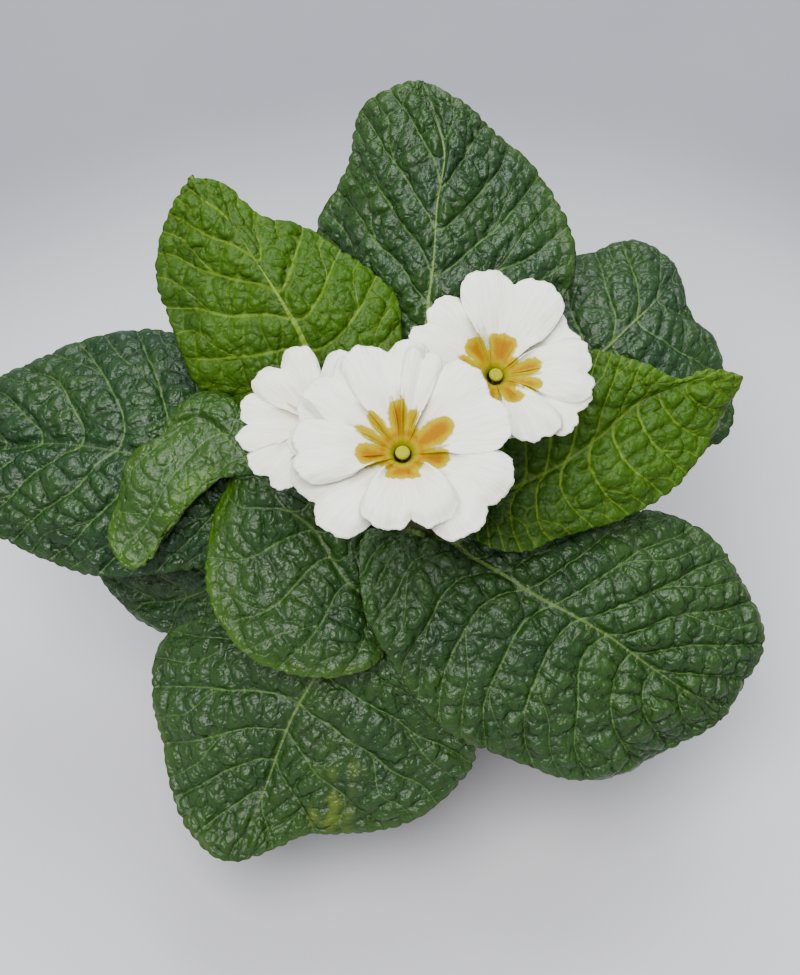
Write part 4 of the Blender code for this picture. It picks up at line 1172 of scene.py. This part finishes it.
def make_calyx(name, nodes, foot, axis, length, radius, mouth):
    """A five-toothed, five-ribbed cup."""
    profile = [(0.4, 0.0), (radius * 0.7, 0.05), (radius * 0.9, 0.35), (radius, CALYX_SHOULDER)]
    profile += [
        (radius + (mouth - radius) * share, CALYX_SHOULDER + (length - CALYX_SHOULDER) * share)
        for share in np.linspace(0.08, 1.0, 22)
    ]
    piece = turned(name, profile, 60)
    open_top(piece)
    points, _, angle = read_round(piece)
    tooth = np.abs(((angle * 5 / TAU) % 1.0) - 0.5) * 2.0
    share = np.clip(points[:, 2] / length, 0.0, 1.0)
    top = length - CALYX_TOOTH * (1.0 - tooth ** 1.4)
    points[:, 2] *= np.where(share > 0.3, 1.0 - (1.0 - top / length) * smoothstep(0.3, 1.0, share), 1.0)
    rib = 1.0 + 0.10 * (tooth ** 3) * smoothstep(0.0, 0.3, share) - 0.05 * (1.0 - tooth)
    flare = 1.0 + 0.10 * smoothstep(0.75, 1.0, share) * tooth
    points[:, :2] *= (rib * flare)[:, None]
    move_points(piece, stand_on(points, foot, axis))
    change(piece, "SOLIDIFY", thickness=CALYX_THICKNESS * MM, offset=-1.0)
    return finish(piece, nodes, LOOKS["calyx"])


def make_stem(name, nodes, root, foot, axis, radius):
    """A stalk from the crown to a flower's foot."""
    start = Vector((root[0], root[1], CROWN_TOP + PETAL_GAP))
    way = Vector(axis).normalized()
    end = Vector(foot) - way * PETAL_GAP
    pull = (end - start).length * 0.45
    bpy.ops.curve.primitive_bezier_curve_add()
    piece = bpy.context.object
    for point, place, reach in zip(
        piece.data.splines[0].bezier_points, (start, end), (Vector((0, 0, pull)), way * pull)
    ):
        point.handle_left_type = point.handle_right_type = "FREE"
        point.co = place * MM
        point.handle_left, point.handle_right = (place - reach) * MM, (place + reach) * MM
    piece.data.resolution_u = 40
    piece.data.bevel_depth = radius * MM
    piece.data.bevel_resolution = 6
    piece.data.use_fill_caps = True
    pick(piece)
    bpy.ops.object.convert(target="MESH")
    piece = bpy.context.object
    piece.name = name
    merge_doubles(piece, outwards=True)
    return finish(piece, nodes, LOOKS["stalk"])


def make_pistil(name, nodes, foot, axis):
    """Ovary, style and the round, slightly dimpled stigma that shows in the throat."""
    top = TUBE_LENGTH - 0.3
    profile = [(0.2, 0.0), (0.72, 0.1), (0.9, 0.9), (0.72, 1.9), (0.4, 2.6)]
    profile += [
        (radius, top + above)
        for radius, above in (
            (0.36, -1.6), (0.5, -1.1), (1.25, -0.75), (1.72, -0.25), (1.82, 0.15), (1.62, 0.55), (1.2, 0.72),
            (0.6, 0.66), (0.15, 0.60),
        )
    ]
    piece = turned(name, profile, 36)
    move_points(piece, stand_on(read_points(piece) / MM, foot, axis))
    return finish(piece, nodes, LOOKS["pistil"])


def make_bud_roll(name, nodes, foot, axis):
    """A closed bud: petals rolled round each other to a point."""
    profile = [(0.2, 0.0)]
    for share in np.linspace(0.02, 0.985, 22):
        swell = 0.45 + 0.55 * math.sin(min(1.0, share * 1.7) * math.pi / 2)
        profile.append((BUD_RADIUS * swell * (1.0 - share ** 4) ** 0.5, BUD_LENGTH * share))
    piece = turned(name, profile, 40)
    points, _, angle = read_round(piece)
    share = points[:, 2] / BUD_LENGTH
    fold = np.abs(np.sin(angle * 2.5 + share * 4.0)) ** 0.5
    points[:, :2] *= (1.0 - 0.16 * (1.0 - fold) * smoothstep(0.3, 0.7, share))[:, None]
    move_points(piece, stand_on(points, foot, axis))
    return finish(piece, nodes, LOOKS["bud"])


def make_flowers():
    """Every flower and bud with its calyx and stalk."""
    for index, (name, flower) in enumerate(FLOWERS.items()):
        node = f"flower_{name}"
        axis = np.array(flower.facing) / np.linalg.norm(flower.facing)
        tube_foot = np.array(flower.face) - axis * TUBE_LENGTH
        foot = tube_foot - axis * (PETAL_GAP + CALYX_WALL)
        cup = CALYX_LENGTH, CALYX_RADIUS, CALYX_MOUTH_RADIUS
        make_corolla(name, flower, 100 + 200 * index)
        make_calyx(f"calyx_{name}", [f"{node}_calyx"], foot, axis, *cup)
        make_pistil(f"pistil_{name}", [f"{node}_pistil"], tube_foot, axis)
        make_stem(f"stem_{name}", [f"{node}_stalk"], flower.root, foot, axis, FLOWER_STALK_RADIUS)
    for name, (foot, pointing, root) in BUDS.items():
        axis = np.array(pointing) / np.linalg.norm(pointing)
        cup = BUD_CALYX_LENGTH, BUD_CALYX_RADIUS, BUD_CALYX_RADIUS * 1.05
        make_calyx(f"{name}_cup", [f"{name}_calyx"], foot, axis, *cup)
        make_bud_roll(f"{name}_roll", [f"{name}_petals"], np.array(foot) + axis * BUD_SEAT, axis)
        make_stem(f"{name}_stem", [f"{name}_stalk"], root, foot, axis, BUD_STALK_RADIUS)


# Pot, soil and crown

def pot_radius(height):
    """Outside radius of the pot's plain wall at a height."""
    return POT_BASE_RADIUS + POT_TAPER * height


def pot_inner_radius(height):
    """Inside radius of the pot's plain wall at a height."""
    return pot_radius(height) - POT_WALL


def make_pot():
    """The pot: a tapered wall on a rounded foot, a stepped and lipped rim and a floor with drain holes."""
    outside = POT_TOP_RADIUS + RIM_STEP
    inside = outside - POT_WALL
    profile = [
        (FLOOR_RADIUS, 1.0), (28.0, 1.0), (28.6, 0.25), (29.0, 0.0), (POT_BASE_RADIUS - 2.0, 0.0),
        (POT_BASE_RADIUS - 1.0, 0.25), (POT_BASE_RADIUS - 0.25, 0.95), (POT_BASE_RADIUS + 0.2, 2.0),
    ]
    profile += [(pot_radius(height), height) for height in np.linspace(5.0, RIM_FOOT - 0.8, 12)]
    profile += [
        (pot_radius(RIM_FOOT) + 0.3, RIM_FOOT - 0.2), (outside - 1.5, RIM_FOOT + 0.15),
        (outside - 1.0, RIM_FOOT + 0.6), (outside - 0.8, RIM_FOOT + 1.4),
        (outside - 0.15, POT_HEIGHT - 2.4), (outside + 0.15, POT_HEIGHT - 2.0),
        (outside + RIM_LIP * 0.8, POT_HEIGHT - 1.75), (outside + RIM_LIP, POT_HEIGHT - 1.4),
        (outside + RIM_LIP, POT_HEIGHT - 0.7), (outside + RIM_LIP * 0.7, POT_HEIGHT - 0.2),
        (outside + RIM_LIP * 0.3, POT_HEIGHT), (inside + 0.4, POT_HEIGHT), (inside, POT_HEIGHT - 0.4),
        (inside - 0.3, POT_HEIGHT - 3.0), (inside - 1.0, RIM_FOOT + 3.0),
        (pot_inner_radius(RIM_FOOT) + 0.3, RIM_FOOT + 1.3), (pot_inner_radius(RIM_FOOT), RIM_FOOT + 0.6),
    ]
    profile += [(pot_inner_radius(height), height) for height in np.linspace(RIM_FOOT - 4.0, 3.0, 8)]
    profile += [(pot_inner_radius(2.0) - 1.0, POT_FLOOR), (FLOOR_RADIUS, POT_FLOOR)]
    pot = turned("nursery_pot", profile, 128)
    wells = []
    for number in range(DRAIN_COUNT):
        angle = TAU * number / DRAIN_COUNT
        place = (DRAIN_CIRCLE * math.cos(angle) * MM, DRAIN_CIRCLE * math.sin(angle) * MM, MM)
        bpy.ops.mesh.primitive_cylinder_add(
            vertices=32, radius=DRAIN_RADIUS * MM, depth=8 * MM, location=place
        )
        wells.append(bpy.context.object)
    well = join(wells, "drain_wells")
    change(pot, "BOOLEAN", operation="DIFFERENCE", solver="EXACT", object=well)
    bpy.data.objects.remove(well)
    shade_by_angle(pot, 34)
    return finish(pot, ["pot"], LOOKS["pot"])


def soil_height(radius, wall):
    """Height of the soil's domed top at a radius."""
    return SOIL_TOP + SOIL_DOME * (1.0 - radius / wall) ** 0.8


def make_soil():
    """Soil: a domed fill whose top is crumbly, with loose crumbs on it."""
    foot = POT_FLOOR + 0.3
    wall = pot_inner_radius(SOIL_TOP - 1.5) - SOIL_GAP
    profile = [(2.0, foot)]
    profile += [(pot_inner_radius(height) - SOIL_GAP, height) for height in (foot, 20.0, 40.0, 60.0)]
    profile += [(wall, SOIL_TOP - 1.5), (wall - 0.6, SOIL_TOP - 0.6)]
    profile += [(radius, soil_height(radius, wall)) for radius in np.linspace(wall - 1.6, 0.6, 64)]
    soil = turned("soil_fill", profile, 180)
    points, radius, _ = read_round(soil)
    top = (points[:, 2] > SOIL_TOP - 0.7) & (radius < wall - 0.5)
    lumps = 0.40 * waves(points, 5.0, 31, 12) + 0.30 * waves(points, 2.3, 32, 12)
    points[:, 2] += np.where(top, lumps * smoothstep(9.0, 13.0, radius) - 0.35, 0.0)
    move_points(soil, points)
    chance = np.random.default_rng(33)
    crumbs = [soil]
    for _ in range(CRUMB_COUNT):
        reach = wall * math.sqrt(chance.uniform(0.12, 0.93))
        angle = chance.uniform(0.0, TAU)
        size = chance.uniform(0.45, 1.35)
        place = (reach * math.cos(angle), reach * math.sin(angle), soil_height(reach, wall) + size * 0.1)
        bpy.ops.mesh.primitive_ico_sphere_add(
            subdivisions=2, radius=size * MM, location=[value * MM for value in place],
            rotation=chance.uniform(0, TAU, 3),
        )
        crumb = bpy.context.object
        bpy.ops.object.transform_apply(location=True, rotation=True, scale=True)
        spots = read_points(crumb) / MM
        centre = np.array(place)
        lump = 1.0 + 0.28 * waves(spots, size * 1.6, int(chance.integers(1e6)), 4)
        move_points(crumb, centre + (spots - centre) * lump[:, None] * (1, 1, 0.7))
        crumbs.append(crumb)
    piece = join(crumbs, "soil_fill")
    shade_by_angle(piece, 50)
    return finish(piece, ["potting_soil"], LOOKS["soil"])


def make_crown():
    """The short fleshy stump with the scars of old leaves."""
    foot = CROWN_FOOT
    profile = [(1.0, foot), (LOWER_RADIUS - 1.0, foot)]
    profile += [(LOWER_RADIUS - 0.3, foot + 0.3), (LOWER_RADIUS, foot + 1.0)]
    profile += [(LOWER_RADIUS, height) for height in np.linspace(foot + 1.8, 79.0, 9)]
    profile += [(LOWER_RADIUS - 0.4, 79.7), (UPPER_RADIUS + 1.0, 80.0), (UPPER_RADIUS + 0.2, 80.4)]
    profile += [(UPPER_RADIUS, height) for height in np.linspace(81.2, 85.5, 7)]
    profile += [(UPPER_RADIUS - 0.4, 86.4), (5.6, 87.3), (4.6, 87.8)]
    profile += [(radius, CROWN_TOP) for radius in (3.6, 2.0, 0.6)]
    piece = turned("leaf_crown", profile, 72)
    points, radius, angle = read_round(piece)
    rings = (points[:, 2] - foot) / SCAR_HEIGHT
    scar = np.abs(np.sin(angle * 3.5 + np.floor(rings) * 1.1)) ** 0.5
    scar *= np.abs(np.sin(rings * math.pi)) ** 0.5
    side = smoothstep(4.0, 6.0, radius)
    dent = -0.55 * (1.0 - scar) * side + 0.15 * waves(points, 2.4, 41) * side
    points[:, :2] *= (1.0 + dent / np.maximum(radius, 1.0))[:, None]
    move_points(piece, points)
    return finish(piece, ["crown"], LOOKS["crown"])


# Scene

def make_stage():
    """A pale floor with a painted pool of light: its colour darkens softly away from the plant."""
    bpy.ops.mesh.primitive_plane_add(size=6.0, location=(0, 0, 0))
    floor = bpy.context.object
    floor.name = "floor"
    made, tree, shader, place = new_material("floor_paper")
    away = new_node(tree, "ShaderNodeVectorMath", operation="DISTANCE")
    feed_all(tree, away, {0: place, 1: (0.0, -0.10, 0.0)})
    colour = layered(
        tree, (0.53, 0.525, 0.54),
        # Painted falloff of light: darker and bluer away from the plant
        (ramp(tree, away.outputs["Value"], 0.225, 0.345), (0.235, 0.237, 0.262)),
        (ramp(tree, noise(tree, place, 9.0, 3.0), 0.3, 0.7, 0.0, 0.05), (0.60, 0.59, 0.59)),
    )
    feed_all(tree, shader, {"Base Color": colour, "Roughness": 0.85})
    floor.data.materials.append(made)


def make_light():
    """One large soft light overhead, a weaker one behind, and a pale sky."""
    for name, place, size, power, tint in (
        ("top_softbox", (-0.20, -0.26, 1.0), 0.60, 15.0, (1.0, 1.0, 0.99)),
        ("back_softbox", (0.12, 0.60, 0.95), 0.55, 11.0, (0.93, 0.97, 1.0)),
    ):
        bpy.ops.object.light_add(type="AREA", location=place)
        lamp = bpy.context.object
        lamp.name = name
        lamp.data.size = size
        lamp.data.energy = power
        lamp.data.color = tint
        lamp.rotation_euler = (Vector((0, 0, 0.08)) - Vector(place)).to_track_quat("-Z", "Y").to_euler()
    world = bpy.data.worlds.new("studio")
    world.use_nodes = True
    sky = world.node_tree.nodes["Background"]
    feed_all(world.node_tree, sky, {"Color": (0.80, 0.84, 0.92, 1.0), "Strength": 0.74})
    bpy.context.scene.world = world


def make_camera():
    """The camera at the photograph's steep angle."""
    bpy.ops.object.camera_add(
        location=[value * MM for value in CAMERA_PLACE], rotation=(math.radians(CAMERA_TILT), 0, 0)
    )
    camera = bpy.context.object
    camera.name = "camera"
    camera.data.sensor_width = CAMERA_SENSOR
    camera.data.lens = CAMERA_LENS
    camera.data.clip_start = 0.01
    camera.data.clip_end = 20.0
    bpy.context.scene.camera = camera


make_camera()
make_light()
make_stage()
make_pot()
make_soil()
make_crown()
for number, (leaf_name, leaf_data) in enumerate(LEAVES.items()):
    make_leaf(leaf_name, leaf_data, 1000 + 17 * number)
make_flowers()

bpy.context.view_layer.update()
